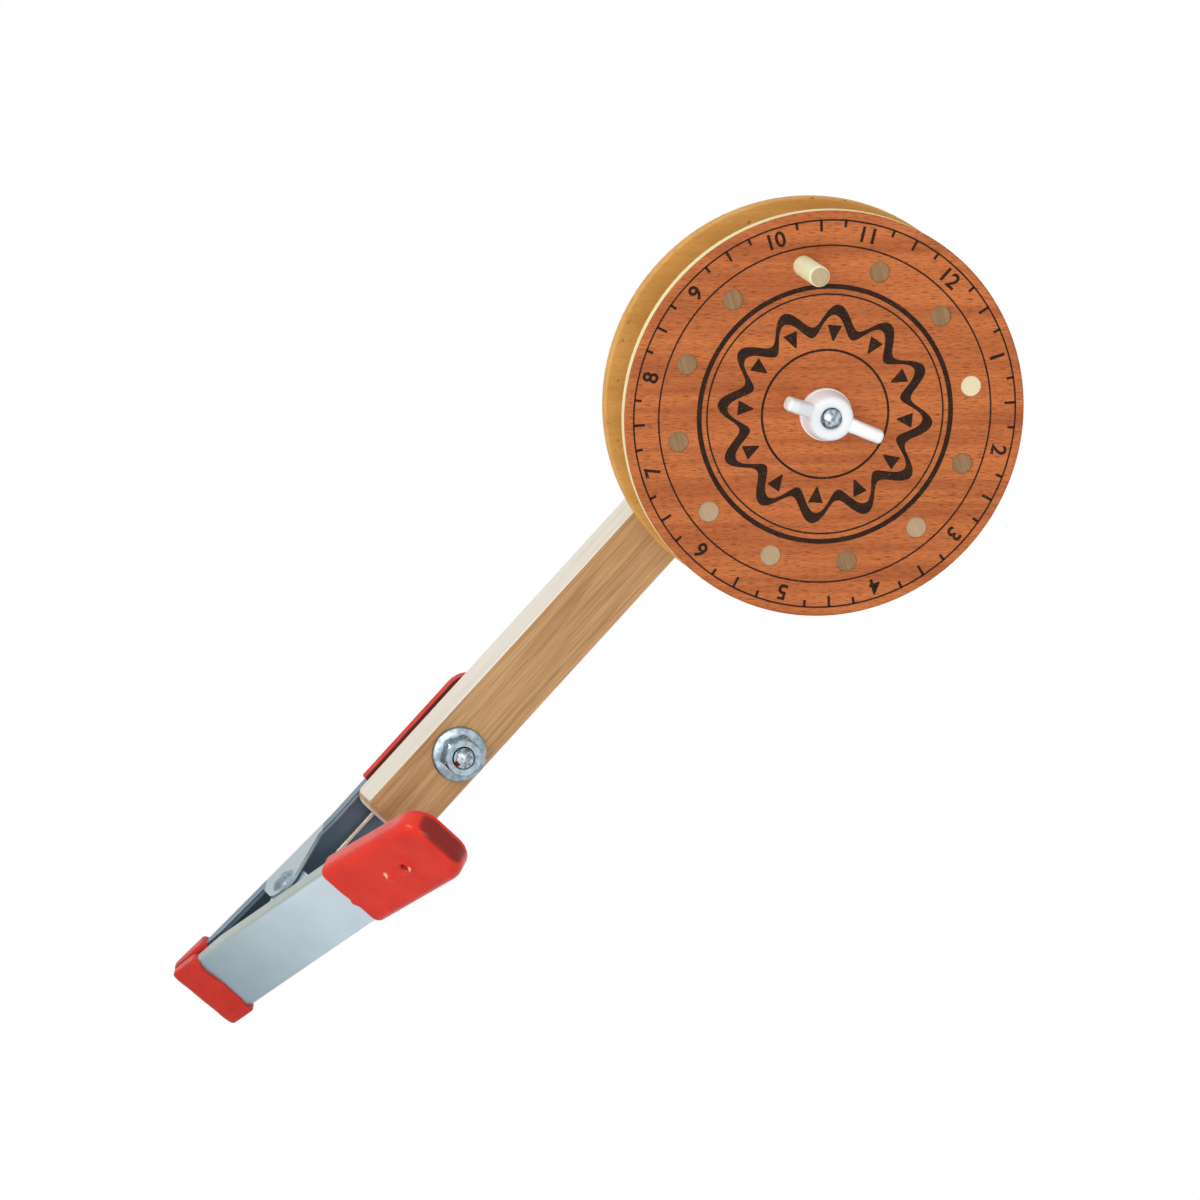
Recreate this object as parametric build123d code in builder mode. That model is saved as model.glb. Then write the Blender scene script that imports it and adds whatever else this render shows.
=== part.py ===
from build123d import *

import os
from math import cos, pi, radians, sin, sqrt, tan

# A clamp-on wooden line reel: a dowel spool on a wooden arm, bolted to a sprung steel clamp.
# Sizes are in millimetres. The origin is where the two closed jaw tips grip, +Z runs up along
# the arm to the spool, and the face of the spool looks towards -Y.

# Spool
flange_diameter = 124.0
flange_thickness = 4.8
flange_gap = 21.6
flange_edge_round = 0.6
dowel_count = 12
dowel_diameter = 6.35
dowel_edge_distance = 16.1
dowel_recess = 0.25
dowel_edge_break = 0.15
dowel_glue_gap = 0.02
peg_reach = 21.0
peg_end_round = 1.2
peg_angle = 142.2

# Rattle ball, loose inside the ring of dowels
ball_diameter = 19.05
ball_clearance = 0.3

# Wooden arm
arm_width = 20.0
arm_depth = 16.5
arm_offset = -2.0
arm_edge_round = 0.6
arm_end_round = 3.5
axle_to_arm_top = 16.0
axle_to_arm_bolt = 150.0
arm_bolt_offset = 1.0
arm_bolt_past_bend = 40.15
arm_bolt_to_arm_end = 31.0
bolt_hole_gap = 0.1

# Hexagon hardware, shared by the axle and the arm bolt
bolt_diameter = 6.35
hex_across_flats = 11.1
hex_corner_break = 0.5
bolt_head_height = 4.2
nut_height = 5.6
washer_diameter = 17.0
washer_thickness = 1.6
bolt_end_break = 0.7
arm_bolt_proud = 1.4

# Spacer and drag parts on the axle
spacer_diameter = 13.0
spacer_length = 8.9
running_gap = 0.075
side_play = 0.1
drag_washer_diameter = 16.0
drag_washer_thickness = 1.5
wing_nut_seat_gap = 0.05
wing_hub_base_diameter = 15.4
wing_hub_top_diameter = 9.8
wing_hub_height = 7.6
wing_span = 31.5
wing_thickness = 3.9
wing_height = 13.2
wing_root_height = 1.4
wing_lower_corner = 5.5
wing_top_start = 11.3
wing_corner_round = 2.6
wing_hub_lip = 0.6
wing_angle = 22.0
axle_end_recess = 0.4

# Clamp levers, measured from the pivot along and across the plane midway between them
jaw_reach = 44.3
jaw_overrun = 1.5
jaw_slope = 15.0
handle_slope = 23.7
web_distance = 15.24
bend_distance = 18.0
bend_radius = 40.0
rear_handle_length = 61.5
front_handle_length = 46.5
lever_width = 22.6
sheet_thickness = 1.3
rim_height = 6.4
rim_height_at_jaw = 1.6
rim_taper_length = 17.5
web_edge_round = 2.2
handle_corner_round = 5.5
ear_radius = 6.3
ear_base_up = 16.0
ear_base_down = 12.0
ear_side_gap = 0.45

# Rivet
rivet_diameter = 5.0
rivet_fit = 0.02
rivet_running_gap = 0.05
rivet_head_diameter = 8.6
rivet_head_height = 1.7

# Dipped vinyl
vinyl_thickness = 1.2
rear_grip_bare_length = 15.5
front_grip_bare_length = 8.0
jaw_tip_length = 9.2
jaw_tip_round = 2.0
jaw_closed_gap = 0.2
grip_seat_gap = 0.05

# Torsion spring
wire_diameter = 1.6
coil_radius = 4.0
coil_start_x = -2.0
coil_end_x = 7.2
coil_full_turns = 4
coil_steps = 18
self_gap_needed = 0.4
leg_angle = 42.0
leg_bend_radius = 6.0
rear_leg_length = 14.5
front_leg_length = 6.5
leg_web_gap = 0.2

# Tolerances for picking edges and faces
match_tolerance = 0.01
outward_share = 0.5

# Places worked out from the sizes above
mid_cos = cos(radians(handle_slope))
mid_sin = sin(radians(handle_slope))
pivot = Vector(0, -jaw_reach * mid_sin, jaw_reach * mid_cos)
rear_plane = Plane(origin=pivot, x_dir=(0, -mid_sin, mid_cos), z_dir=(-1, 0, 0))
front_plane = Plane(origin=pivot, x_dir=(0, -mid_sin, mid_cos), z_dir=(1, 0, 0))

jaw_along = Vector(cos(radians(jaw_slope)), sin(radians(jaw_slope)))
jaw_inward = Vector(sin(radians(jaw_slope)), -cos(radians(jaw_slope)))
handle_along = Vector(mid_cos, mid_sin)
handle_inward = Vector(mid_sin, -mid_cos)
bend_inward = (jaw_inward + handle_inward) * (1 / (1 + jaw_inward.dot(handle_inward)))
jaw_end = Vector(-jaw_reach - jaw_overrun, web_distance - (jaw_reach + jaw_overrun) * tan(radians(jaw_slope)))
bend_point = Vector(bend_distance, web_distance + bend_distance * tan(radians(jaw_slope)))

handle_web_y = pivot.Y - bend_point.X * mid_sin + bend_point.Y * mid_cos
handle_back_y = handle_web_y + vinyl_thickness
arm_back_y = handle_web_y - rim_height - vinyl_thickness - grip_seat_gap
arm_front_y = arm_back_y - arm_depth
bend_z = pivot.Z + bend_point.X * mid_cos + bend_point.Y * mid_sin
arm_bolt_x = arm_offset + arm_bolt_offset
arm_bolt_z = bend_z + arm_bolt_past_bend
axle_height = arm_bolt_z + axle_to_arm_bolt
arm_bottom_z = arm_bolt_z - arm_bolt_to_arm_end
arm_top_z = axle_height + axle_to_arm_top

axle_nut_y = arm_front_y - washer_thickness
spacer_y = axle_nut_y - nut_height
spool_back_y = spacer_y - spacer_length - side_play
spool_front_y = spool_back_y - 2 * flange_thickness - flange_gap
drag_washer_y = spool_front_y - side_play
wing_nut_y = drag_washer_y - drag_washer_thickness - wing_nut_seat_gap
axle_end_y = wing_nut_y - wing_hub_height + axle_end_recess

half_width = lever_width / 2
grip_wall = sheet_thickness + 2 * vinyl_thickness
inner_ear_face = half_width - 2 * sheet_thickness - ear_side_gap
dowel_step = 360 / dowel_count
dowel_circle_radius = flange_diameter / 2 - dowel_edge_distance

os.makedirs("parts", exist_ok=True)


def facing(y, x=arm_offset, z=axle_height):
    """Plane square to the axle at one depth, with its normal towards the viewer's side (-Y)."""
    return Plane(origin=(x, y, z), x_dir=(1, 0, 0), z_dir=(0, -1, 0))


def finish(piece, name):
    """Name a finished piece and write it to its own file."""
    piece.label = name
    export_step(piece, f"parts/{name}.step")


def web_line(inset, handle_length):
    """Jaw end, bend and handle end of a lever's outline, moved inwards from the web's outer face."""
    start = jaw_end + jaw_inward * inset
    middle = bend_point + bend_inward * inset
    end = bend_point + handle_along * handle_length + handle_inward * inset
    return start, middle, end


def handle_point(distance, inset):
    """Point on a handle, a distance past the bend and moved inwards from the web's outer face."""
    return bend_point + handle_along * distance + handle_inward * inset


def flat(points):
    """Plain pairs for sketch points."""
    return [(point.X, point.Y) for point in points]


# Spool flanges
def spool_flange(front_y):
    """A plywood disc with its axle hole and the ring of dowel holes."""
    with BuildPart() as disc:
        with BuildSketch(facing(front_y + flange_thickness)):
            Circle(flange_diameter / 2)
            Circle(bolt_diameter / 2 + running_gap, mode=Mode.SUBTRACT)
            with PolarLocations(dowel_circle_radius, dowel_count, start_angle=peg_angle):
                Circle(dowel_diameter / 2 + dowel_glue_gap, mode=Mode.SUBTRACT)
        extrude(amount=flange_thickness)
        circles = disc.edges().filter_by(GeomType.CIRCLE)
        rims = circles.filter_by(lambda edge: edge.radius > flange_diameter / 3)
        fillet(rims, flange_edge_round)
    return disc.part


finish(spool_flange(spool_front_y), "front_flange")
finish(spool_flange(spool_back_y - flange_thickness), "rear_flange")


# Dowels and crank peg
def spool_dowel(angle, front_y, end_round):
    """One dowel through both flanges, from just inside the back face to a given front end."""
    place_x = arm_offset + dowel_circle_radius * cos(radians(angle))
    place_z = axle_height + dowel_circle_radius * sin(radians(angle))
    back_y = spool_back_y - dowel_recess
    with BuildPart() as dowel:
        with BuildSketch(facing(back_y, place_x, place_z)):
            Circle(dowel_diameter / 2)
        extrude(amount=back_y - front_y)
        ends = dowel.edges().filter_by(GeomType.CIRCLE).sort_by(Axis.Y)
        fillet(ends[0], end_round)
        fillet(dowel.edges().filter_by(GeomType.CIRCLE).sort_by(Axis.Y)[-1], dowel_edge_break)
    return dowel.part


finish(spool_dowel(peg_angle, spool_front_y - peg_reach, peg_end_round), "crank_peg")
for number in range(1, dowel_count):
    dowel_angle = peg_angle + number * dowel_step
    dowel = spool_dowel(dowel_angle, spool_front_y + dowel_recess, dowel_edge_break)
    finish(dowel, f"spool_dowel_{number:02d}")

# Rattle ball, lying at the bottom of the ring of dowels and against the rear flange
ball_orbit = dowel_circle_radius - dowel_diameter / 2 - ball_diameter / 2 - ball_clearance
ball_y = spool_back_y - flange_thickness - ball_clearance - ball_diameter / 2
with BuildPart() as rattle_ball:
    with Locations((arm_offset, ball_y, axle_height - ball_orbit)):
        Sphere(ball_diameter / 2)
finish(rattle_ball.part, "rattle_ball")

# Arm
with BuildPart() as arm:
    with BuildSketch(Plane.XY.offset(arm_bottom_z)):
        with Locations((arm_offset, arm_back_y - arm_depth / 2)):
            RectangleRounded(arm_width, arm_depth, arm_edge_round)
    extrude(amount=arm_top_z - arm_bottom_z)
    fillet(arm.faces().sort_by(Axis.Z)[0].edges(), arm_end_round)
    fillet(arm.faces().sort_by(Axis.Z)[-1].edges(), arm_end_round)
    with Locations(facing(arm_front_y), facing(arm_front_y, arm_bolt_x, arm_bolt_z)):
        Hole(bolt_diameter / 2 + bolt_hole_gap)
finish(arm.part, "arm")


# Bolts, nuts and washers
def hex_bolt(under_head_y, end_y, x, z):
    """A hexagon-head bolt with its head at the back and its shank running towards -Y."""
    with BuildPart() as bolt:
        with BuildSketch(facing(under_head_y + bolt_head_height, x, z)):
            RegularPolygon(hex_across_flats / 2, 6, major_radius=False)
        extrude(amount=bolt_head_height)
        chamfer(bolt.faces().sort_by(Axis.Y)[-1].edges(), hex_corner_break)
        with BuildSketch(facing(under_head_y, x, z)):
            Circle(bolt_diameter / 2)
        extrude(amount=under_head_y - end_y)
        chamfer(bolt.edges().filter_by(GeomType.CIRCLE).sort_by(Axis.Y)[0], bolt_end_break)
    return bolt.part


def hex_nut(back_y, x, z):
    """A hexagon nut, bored to slip over the bolt, with its corners broken on the outer side."""
    with BuildPart() as nut:
        with BuildSketch(facing(back_y, x, z)):
            RegularPolygon(hex_across_flats / 2, 6, major_radius=False)
            Circle(bolt_diameter / 2 + running_gap, mode=Mode.SUBTRACT)
        extrude(amount=nut_height)
        outer_edges = nut.faces().sort_by(Axis.Y)[0].edges().filter_by(GeomType.LINE)
        chamfer(outer_edges, hex_corner_break)
    return nut.part


def flat_ring(back_y, x, z, diameter, thickness):
    """A plain washer or spacer round a bolt."""
    with BuildPart() as ring:
        with BuildSketch(facing(back_y, x, z)):
            Circle(diameter / 2)
            Circle(bolt_diameter / 2 + running_gap, mode=Mode.SUBTRACT)
        extrude(amount=thickness)
    return ring.part


axle_place = (arm_offset, axle_height)
finish(hex_bolt(arm_back_y, axle_end_y, *axle_place), "axle_bolt")
finish(flat_ring(arm_front_y, *axle_place, washer_diameter, washer_thickness), "axle_washer")
finish(hex_nut(axle_nut_y, *axle_place), "axle_lock_nut")
finish(flat_ring(spacer_y, *axle_place, spacer_diameter, spacer_length), "axle_spacer")
finish(flat_ring(drag_washer_y, *axle_place, drag_washer_diameter, drag_washer_thickness), "drag_washer")

arm_nut_y = arm_front_y - washer_thickness
arm_bolt_end_y = arm_nut_y - nut_height - arm_bolt_proud
back_washer_y = handle_back_y + washer_thickness
arm_bolt_place = (arm_bolt_x, arm_bolt_z)
finish(hex_bolt(back_washer_y, arm_bolt_end_y, *arm_bolt_place), "arm_bolt")
finish(flat_ring(back_washer_y, *arm_bolt_place, washer_diameter, washer_thickness), "arm_bolt_back_washer")
finish(flat_ring(arm_front_y, *arm_bolt_place, washer_diameter, washer_thickness), "arm_bolt_front_washer")
finish(hex_nut(arm_nut_y, *arm_bolt_place), "arm_bolt_nut")

# Wing nut
wing_side = Plane(
    origin=(arm_offset, wing_nut_y, axle_height),
    x_dir=(cos(radians(wing_angle)), 0, sin(radians(wing_angle))),
    z_dir=(sin(radians(wing_angle)), 0, -cos(radians(wing_angle))),
)
hub_base_radius = wing_hub_base_diameter / 2
hub_top_radius = wing_hub_top_diameter / 2
half_span = wing_span / 2
with BuildPart() as wing_nut:
    with BuildSketch(facing(wing_nut_y)):
        Circle(hub_base_radius)
    with BuildSketch(facing(wing_nut_y - wing_hub_height)):
        Circle(hub_top_radius)
    loft()
    with BuildSketch(wing_side) as wing_outline:
        with BuildLine():
            Polyline(
                (0, wing_root_height),
                (hub_base_radius, wing_root_height),
                (half_span, wing_lower_corner),
                (half_span, wing_height),
                (wing_top_start, wing_height),
                (hub_top_radius, wing_hub_height - wing_hub_lip),
                (0, wing_hub_height - wing_hub_lip),
                close=True,
            )
        make_face()
        fillet(wing_outline.vertices().group_by(Axis.X)[-1], wing_corner_round)
        mirror(about=Plane.YZ)
    extrude(amount=wing_thickness / 2, both=True)
    with Locations(facing(wing_nut_y - wing_hub_height)):
        Hole(bolt_diameter / 2 + running_gap)
finish(wing_nut.part, "wing_nut")


# Clamp levers
def ear_hull(plane, depth, base_inset):
    """Ear of a lever: the hull of a disc round the pivot and a stretch of the web."""
    low, high = ear_base(base_inset)
    with BuildSketch(plane.offset(depth)) as ear:
        with BuildLine():
            CenterArc((0, 0), ear_radius, 0, 360)
            Line((low.X, low.Y), (high.X, high.Y))
        make_hull()
    return ear.sketch


def ear_base(inset):
    """Two ends of an ear's root, on the straight jaw part of the web, moved inwards by the inset."""
    middle = Vector(0, web_distance) + jaw_inward * inset
    return middle - jaw_along * ear_base_down, middle + jaw_along * ear_base_up


def lever_blank(plane, handle_length, with_ears):
    """Outside of a lever as a solid: the side outline at full width, with the bends of the sheet rounded."""
    start, middle, end = web_line(0, handle_length)
    rim_start, rim_middle, rim_end = web_line(rim_height, handle_length)
    taper_end = rim_start + jaw_along * rim_taper_length
    jaw_rim = jaw_end + jaw_inward * rim_height_at_jaw
    ears = [ear_hull(plane, -half_width, rim_height / 2)] if with_ears else []
    with BuildPart() as blank:
        with BuildSketch(plane):
            with BuildLine():
                FilletPolyline(*flat([start, middle, end]), radius=bend_radius)
                Polyline(*flat([end, rim_end, rim_middle, taper_end, jaw_rim, start]))
            make_face()
        extrude(amount=half_width, both=True)
        end_place = plane.from_local_coords((rim_end + end) * 0.5)
        corners = blank.edges().sort_by_distance(end_place).filter_by(
            lambda edge: abs(edge.length - rim_height) < match_tolerance)
        fillet(corners[0:2], handle_corner_round)
        web_faces = blank.faces().filter_by(
            lambda face: plane.to_local_coords(face.normal_at()).Y > outward_share)
        web_edges = [edge for face in web_faces for edge in face.edges()]
        outer_edges = [edge for edge in web_edges if is_outer_edge(edge, plane, web_faces)]
        fillet(outer_edges, web_edge_round)
        for ear in ears:
            extrude(ear, amount=lever_width)
    return blank.part


def is_outer_edge(edge, plane, web_faces):
    """True for a web edge along a side or round the handle end, not a seam between webs or the jaw end."""
    others = [other for face in web_faces for other in face.edges()]
    shared = sum((other.center() - edge.center()).length < match_tolerance for other in others)
    middle = plane.to_local_coords(edge.center())
    at_jaw_end = middle.X < jaw_end.X + sheet_thickness
    return shared == 1 and not at_jaw_end


def lever_hollow(plane, handle_length):
    """Inside of a lever's channel as a solid, reaching out past the jaw end and the ears."""
    start, middle, end = web_line(sheet_thickness, handle_length - sheet_thickness)
    jaw_open = start - jaw_along * lever_width
    depth = handle_inward * (web_distance + 2 * ear_radius)
    with BuildPart() as hollow:
        with BuildSketch(plane):
            with BuildLine():
                FilletPolyline(*flat([jaw_open, middle, end]), radius=bend_radius - sheet_thickness)
                Polyline(*flat([end, end + depth, jaw_open + depth, jaw_open]))
            make_face()
        extrude(amount=half_width - sheet_thickness, both=True)
        end_place = plane.from_local_coords(end + depth * 0.5)
        corners = hollow.edges().sort_by_distance(end_place).filter_by(
            lambda edge: abs(edge.length - depth.length) < match_tolerance)
        fillet(corners[0:2], handle_corner_round - sheet_thickness)
    return hollow.part


rear_blank = lever_blank(rear_plane, rear_handle_length, True)
rear_hollow = lever_hollow(rear_plane, rear_handle_length)
with BuildPart() as rear_lever:
    add(rear_blank)
    add(rear_hollow, mode=Mode.SUBTRACT)
    with Locations(Plane(origin=pivot, z_dir=(1, 0, 0))):
        Cylinder(rivet_diameter / 2 + rivet_fit, 2 * lever_width, mode=Mode.SUBTRACT)
    with Locations(facing(handle_back_y, arm_bolt_x, arm_bolt_z)):
        Cylinder(bolt_diameter / 2 + bolt_hole_gap, 4 * grip_wall, mode=Mode.SUBTRACT)
finish(rear_lever.part, "rear_lever")


def inner_ear(side):
    """One ear of the front lever, set in by a sheet so that it turns between the ears of the rear lever."""
    face_depth = inner_ear_face if side > 0 else -inner_ear_face - sheet_thickness
    step_depth = inner_ear_face if side > 0 else -half_width + sheet_thickness / 2
    ear = ear_hull(front_plane, face_depth, sheet_thickness / 2)
    low, high = ear_base(sheet_thickness / 2)
    low_rim, high_rim = ear_base(rim_height)
    with BuildPart() as plate:
        extrude(ear, amount=sheet_thickness)
        with BuildSketch(front_plane.offset(step_depth)):
            Polygon(*flat([low, high, high_rim, low_rim]), align=None)
        extrude(amount=half_width - sheet_thickness / 2 - inner_ear_face)
    return plate.part


front_blank = lever_blank(front_plane, front_handle_length, False)
front_hollow = lever_hollow(front_plane, front_handle_length)
left_ear = inner_ear(-1)
right_ear = inner_ear(1)
with BuildPart() as front_lever:
    add(front_blank)
    add(front_hollow, mode=Mode.SUBTRACT)
    add(left_ear)
    add(right_ear)
    with Locations(Plane(origin=pivot, z_dir=(1, 0, 0))):
        Cylinder(rivet_diameter / 2 + rivet_running_gap, 2 * lever_width, mode=Mode.SUBTRACT)
finish(front_lever.part, "front_lever")

# Rivet, with a low domed head outside each ear of the rear lever
head_radius = rivet_head_diameter / 2
dome_radius = (head_radius**2 + rivet_head_height**2) / (2 * rivet_head_height)
rivet_end = half_width + rivet_head_height
rivet_plane = Plane(origin=pivot, x_dir=(0, 1, 0), z_dir=(0, 0, 1))
with BuildPart() as pivot_rivet:
    with BuildSketch(rivet_plane):
        with BuildLine():
            RadiusArc((0, -rivet_end), (head_radius, -half_width), -dome_radius)
            Polyline(
                (head_radius, -half_width),
                (rivet_diameter / 2, -half_width),
                (rivet_diameter / 2, half_width),
                (head_radius, half_width),
            )
            RadiusArc((head_radius, half_width), (0, rivet_end), -dome_radius)
            Line((0, rivet_end), (0, -rivet_end))
        make_face()
    revolve(axis=Axis(pivot, (1, 0, 0)))
finish(pivot_rivet.part, "pivot_rivet")


# Vinyl on the handles and jaws
def handle_block(plane, start, end, outer_inset, inner_inset, width, corner_round, edge_round):
    """Solid along a straight handle between two insets, with its end corners and any web edges rounded."""
    with BuildPart() as block:
        with BuildSketch(plane):
            outline = [
                handle_point(start, outer_inset),
                handle_point(end, outer_inset),
                handle_point(end, inner_inset),
                handle_point(start, inner_inset),
            ]
            Polygon(*flat(outline), align=None)
        extrude(amount=width / 2, both=True)
        end_place = plane.from_local_coords((outline[1] + outline[2]) * 0.5)
        end_face = block.faces().sort_by_distance(end_place)[0]
        depth = inner_inset - outer_inset
        corners = end_face.edges().filter_by(lambda edge: abs(edge.length - depth) < match_tolerance)
        fillet(corners, corner_round)
        web_place = plane.from_local_coords((outline[0] + outline[1]) * 0.5)
        web_face = block.faces().sort_by_distance(web_place)[0]
        start_place = plane.from_local_coords(outline[0])
        if edge_round > 0:
            fillet(web_face.edges().sort_by_distance(start_place)[1:], edge_round)
    return block.part


def dipped_grip(plane, bare_length, handle_length, lever):
    """Vinyl skin over a handle, inside and out, open only where the bare steel comes out of it."""
    skin_outside = handle_block(
        plane,
        bare_length,
        handle_length + vinyl_thickness,
        -vinyl_thickness,
        rim_height + vinyl_thickness,
        lever_width + 2 * vinyl_thickness,
        handle_corner_round + vinyl_thickness,
        web_edge_round + vinyl_thickness,
    )
    skin_inside = handle_block(
        plane,
        bare_length - grip_wall,
        handle_length - sheet_thickness - vinyl_thickness,
        sheet_thickness + vinyl_thickness,
        rim_height + lever_width,
        lever_width - 2 * sheet_thickness - 2 * vinyl_thickness,
        handle_corner_round - sheet_thickness - vinyl_thickness,
        0,
    )
    with BuildPart() as grip:
        add(skin_outside)
        add(skin_inside, mode=Mode.SUBTRACT)
        add(lever, mode=Mode.SUBTRACT)
        with Locations(facing(handle_back_y, arm_bolt_x, arm_bolt_z)):
            Cylinder(bolt_diameter / 2 + bolt_hole_gap, 4 * grip_wall, mode=Mode.SUBTRACT)
    return grip.part


def dipped_jaw_tip(plane, lever):
    """Vinyl cap over a jaw end, flat where it meets the other jaw."""
    tip_start = jaw_end + jaw_along * jaw_tip_length
    cap_end = jaw_end - jaw_along * vinyl_thickness
    meeting = jaw_closed_gap / 2
    outline = [
        tip_start - jaw_inward * vinyl_thickness,
        cap_end - jaw_inward * vinyl_thickness,
        Vector(cap_end.X + jaw_inward.X * meeting, meeting),
        Vector(jaw_end.X + jaw_tip_length / 2, meeting),
        Vector(tip_start.X, meeting + vinyl_thickness / 2),
    ]
    with BuildPart() as cap:
        with BuildSketch(plane):
            Polygon(*flat(outline), align=None)
        extrude(amount=half_width + vinyl_thickness, both=True)
        end_place = plane.from_local_coords((outline[1] + outline[2]) * 0.5)
        end_face = cap.faces().sort_by_distance(end_place)[0]
        full_width = 2 * (half_width + vinyl_thickness)
        fillet(end_face.edges().filter_by(lambda edge: edge.length < full_width / 2), jaw_tip_round)
        web_place = plane.from_local_coords((outline[0] + outline[1]) * 0.5)
        start_place = plane.from_local_coords(outline[0])
        web_face = cap.faces().sort_by_distance(web_place)[0]
        fillet(web_face.edges().sort_by_distance(start_place)[1:], vinyl_thickness)
        add(lever, mode=Mode.SUBTRACT)
    return cap.part


rear_grip = dipped_grip(rear_plane, rear_grip_bare_length, rear_handle_length, rear_lever.part)
front_grip = dipped_grip(front_plane, front_grip_bare_length, front_handle_length, front_lever.part)
finish(rear_grip, "rear_grip")
finish(front_grip, "front_grip")
finish(dipped_jaw_tip(rear_plane, rear_lever.part), "rear_jaw_tip")
finish(dipped_jaw_tip(front_plane, front_lever.part), "front_jaw_tip")

# Torsion spring: one wire from the rear handle, round the rivet and out to the front handle
coil_angle = 90 + leg_angle
coil_sweep = 360 * coil_full_turns + 360 - 2 * coil_angle
coil_rise = (coil_end_x - coil_start_x) / radians(coil_sweep)
leg_inset = sheet_thickness + leg_web_gap + wire_diameter / 2
leg_foot = Vector(coil_radius * cos(radians(coil_angle)), coil_radius * sin(radians(coil_angle)))
leg_out = Vector(cos(radians(leg_angle)), sin(radians(leg_angle)))
leg_run = (handle_point(0, leg_inset) - leg_foot).cross(handle_along).Z / leg_out.cross(handle_along).Z
leg_corner = leg_foot + leg_out * leg_run
rear_leg_line = [handle_point(rear_leg_length, leg_inset), leg_corner, leg_foot]
front_leg_line = [handle_point(front_leg_length, leg_inset), leg_corner, leg_foot]


def coil_place(step):
    """Point on the coil's middle line after some of its steps."""
    angle = radians(coil_angle + coil_sweep * step / coil_steps)
    across = coil_start_x + (coil_end_x - coil_start_x) * step / coil_steps
    return rear_plane.from_local_coords(Vector(coil_radius * cos(angle), coil_radius * sin(angle), -across))


def coil_direction(step):
    """Direction of the coil's middle line, square to the rivet at both ends."""
    angle = radians(coil_angle + coil_sweep * step / coil_steps)
    rise = coil_rise if 0 < step < coil_steps else 0
    ahead = Vector(-coil_radius * sin(angle), coil_radius * cos(angle), -rise)
    return (rear_plane.from_local_coords(ahead) - pivot).normalized()


def coil_joint(step):
    """Point and direction where the two arcs of one coil step meet."""
    first, last = coil_place(step), coil_place(step + 1)
    leaving, arriving = coil_direction(step), coil_direction(step + 1)
    chord = last - first
    along = chord.dot(leaving + arriving)
    bend = 1 - leaving.dot(arriving)
    handle = (sqrt(along**2 + 2 * bend * chord.dot(chord)) - along) / (2 * bend)
    before = first + leaving * handle
    after = last - arriving * handle
    return (before + after) * 0.5, (after - before).normalized()


with BuildPart() as torsion_spring:
    with BuildLine() as spring_line:
        rear_leg = [
            rear_plane.from_local_coords(Vector(point.X, point.Y, -coil_start_x)) for point in rear_leg_line
        ]
        FilletPolyline(*rear_leg, radius=leg_bend_radius)
        for step in range(coil_steps):
            joint, joint_direction = coil_joint(step)
            TangentArc(coil_place(step), joint, tangent=coil_direction(step))
            TangentArc(joint, coil_place(step + 1), tangent=joint_direction)
        front_leg = [
            front_plane.from_local_coords(Vector(point.X, point.Y, coil_end_x)) for point in front_leg_line
        ]
        FilletPolyline(*reversed(front_leg), radius=leg_bend_radius)
    spring_wire = spring_line.wire()
    with BuildSketch(Plane(origin=spring_wire @ 0, z_dir=spring_wire % 0)):
        Circle(wire_diameter / 2)
    sweep(path=spring_wire)
finish(torsion_spring.part, "torsion_spring")

# Least gap between turns, measured on points along the wire that are half a turn or more apart
sample_count = 800
sample_step = spring_wire.length / sample_count
samples = [spring_wire @ (number / sample_count) for number in range(sample_count + 1)]
apart = int(pi * coil_radius / sample_step)
closest = min(
    (samples[later] - samples[earlier]).length
    for earlier in range(sample_count + 1)
    for later in range(earlier + apart, sample_count + 1)
)
turn_gap = closest - wire_diameter
print(f"least gap between turns of the spring {turn_gap:.3f} mm, more than {self_gap_needed} wanted")
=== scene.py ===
"""Dress the clamp-on line reel: stained wood, printed dial, white nylon, zinc hardware and dipped vinyl."""

import logging
from dataclasses import dataclass, field
from enum import Enum
from math import cos, pi, radians, sin, tan

import bmesh
import bpy
import numpy as np
from mathutils import Matrix, Vector


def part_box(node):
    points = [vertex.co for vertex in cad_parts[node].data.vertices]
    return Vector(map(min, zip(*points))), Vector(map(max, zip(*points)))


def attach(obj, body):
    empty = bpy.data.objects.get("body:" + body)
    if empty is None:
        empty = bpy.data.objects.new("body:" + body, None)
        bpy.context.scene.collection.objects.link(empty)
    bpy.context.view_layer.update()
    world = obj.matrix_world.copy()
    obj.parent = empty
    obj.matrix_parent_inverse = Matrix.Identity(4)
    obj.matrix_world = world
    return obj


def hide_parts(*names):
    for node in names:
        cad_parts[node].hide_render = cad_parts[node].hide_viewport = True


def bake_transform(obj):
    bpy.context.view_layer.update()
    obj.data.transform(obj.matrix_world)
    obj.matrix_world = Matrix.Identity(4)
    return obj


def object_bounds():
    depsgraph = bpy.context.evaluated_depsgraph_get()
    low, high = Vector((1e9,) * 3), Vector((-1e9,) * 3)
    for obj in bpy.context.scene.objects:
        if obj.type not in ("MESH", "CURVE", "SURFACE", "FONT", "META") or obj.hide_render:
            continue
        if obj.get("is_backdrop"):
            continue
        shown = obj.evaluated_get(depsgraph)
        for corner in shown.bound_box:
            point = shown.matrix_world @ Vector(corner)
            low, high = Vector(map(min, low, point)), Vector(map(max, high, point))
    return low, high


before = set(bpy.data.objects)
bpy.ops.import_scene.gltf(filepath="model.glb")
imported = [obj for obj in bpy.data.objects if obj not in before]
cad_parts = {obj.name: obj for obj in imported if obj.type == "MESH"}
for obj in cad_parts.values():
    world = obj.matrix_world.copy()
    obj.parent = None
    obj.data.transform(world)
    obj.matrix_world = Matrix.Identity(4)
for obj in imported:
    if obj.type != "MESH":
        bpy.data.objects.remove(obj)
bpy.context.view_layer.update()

log = logging.getLogger("reel")
MM = 0.001
SAME_POINT = 1e-6
EMPTY_FACE = 1e-7
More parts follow.
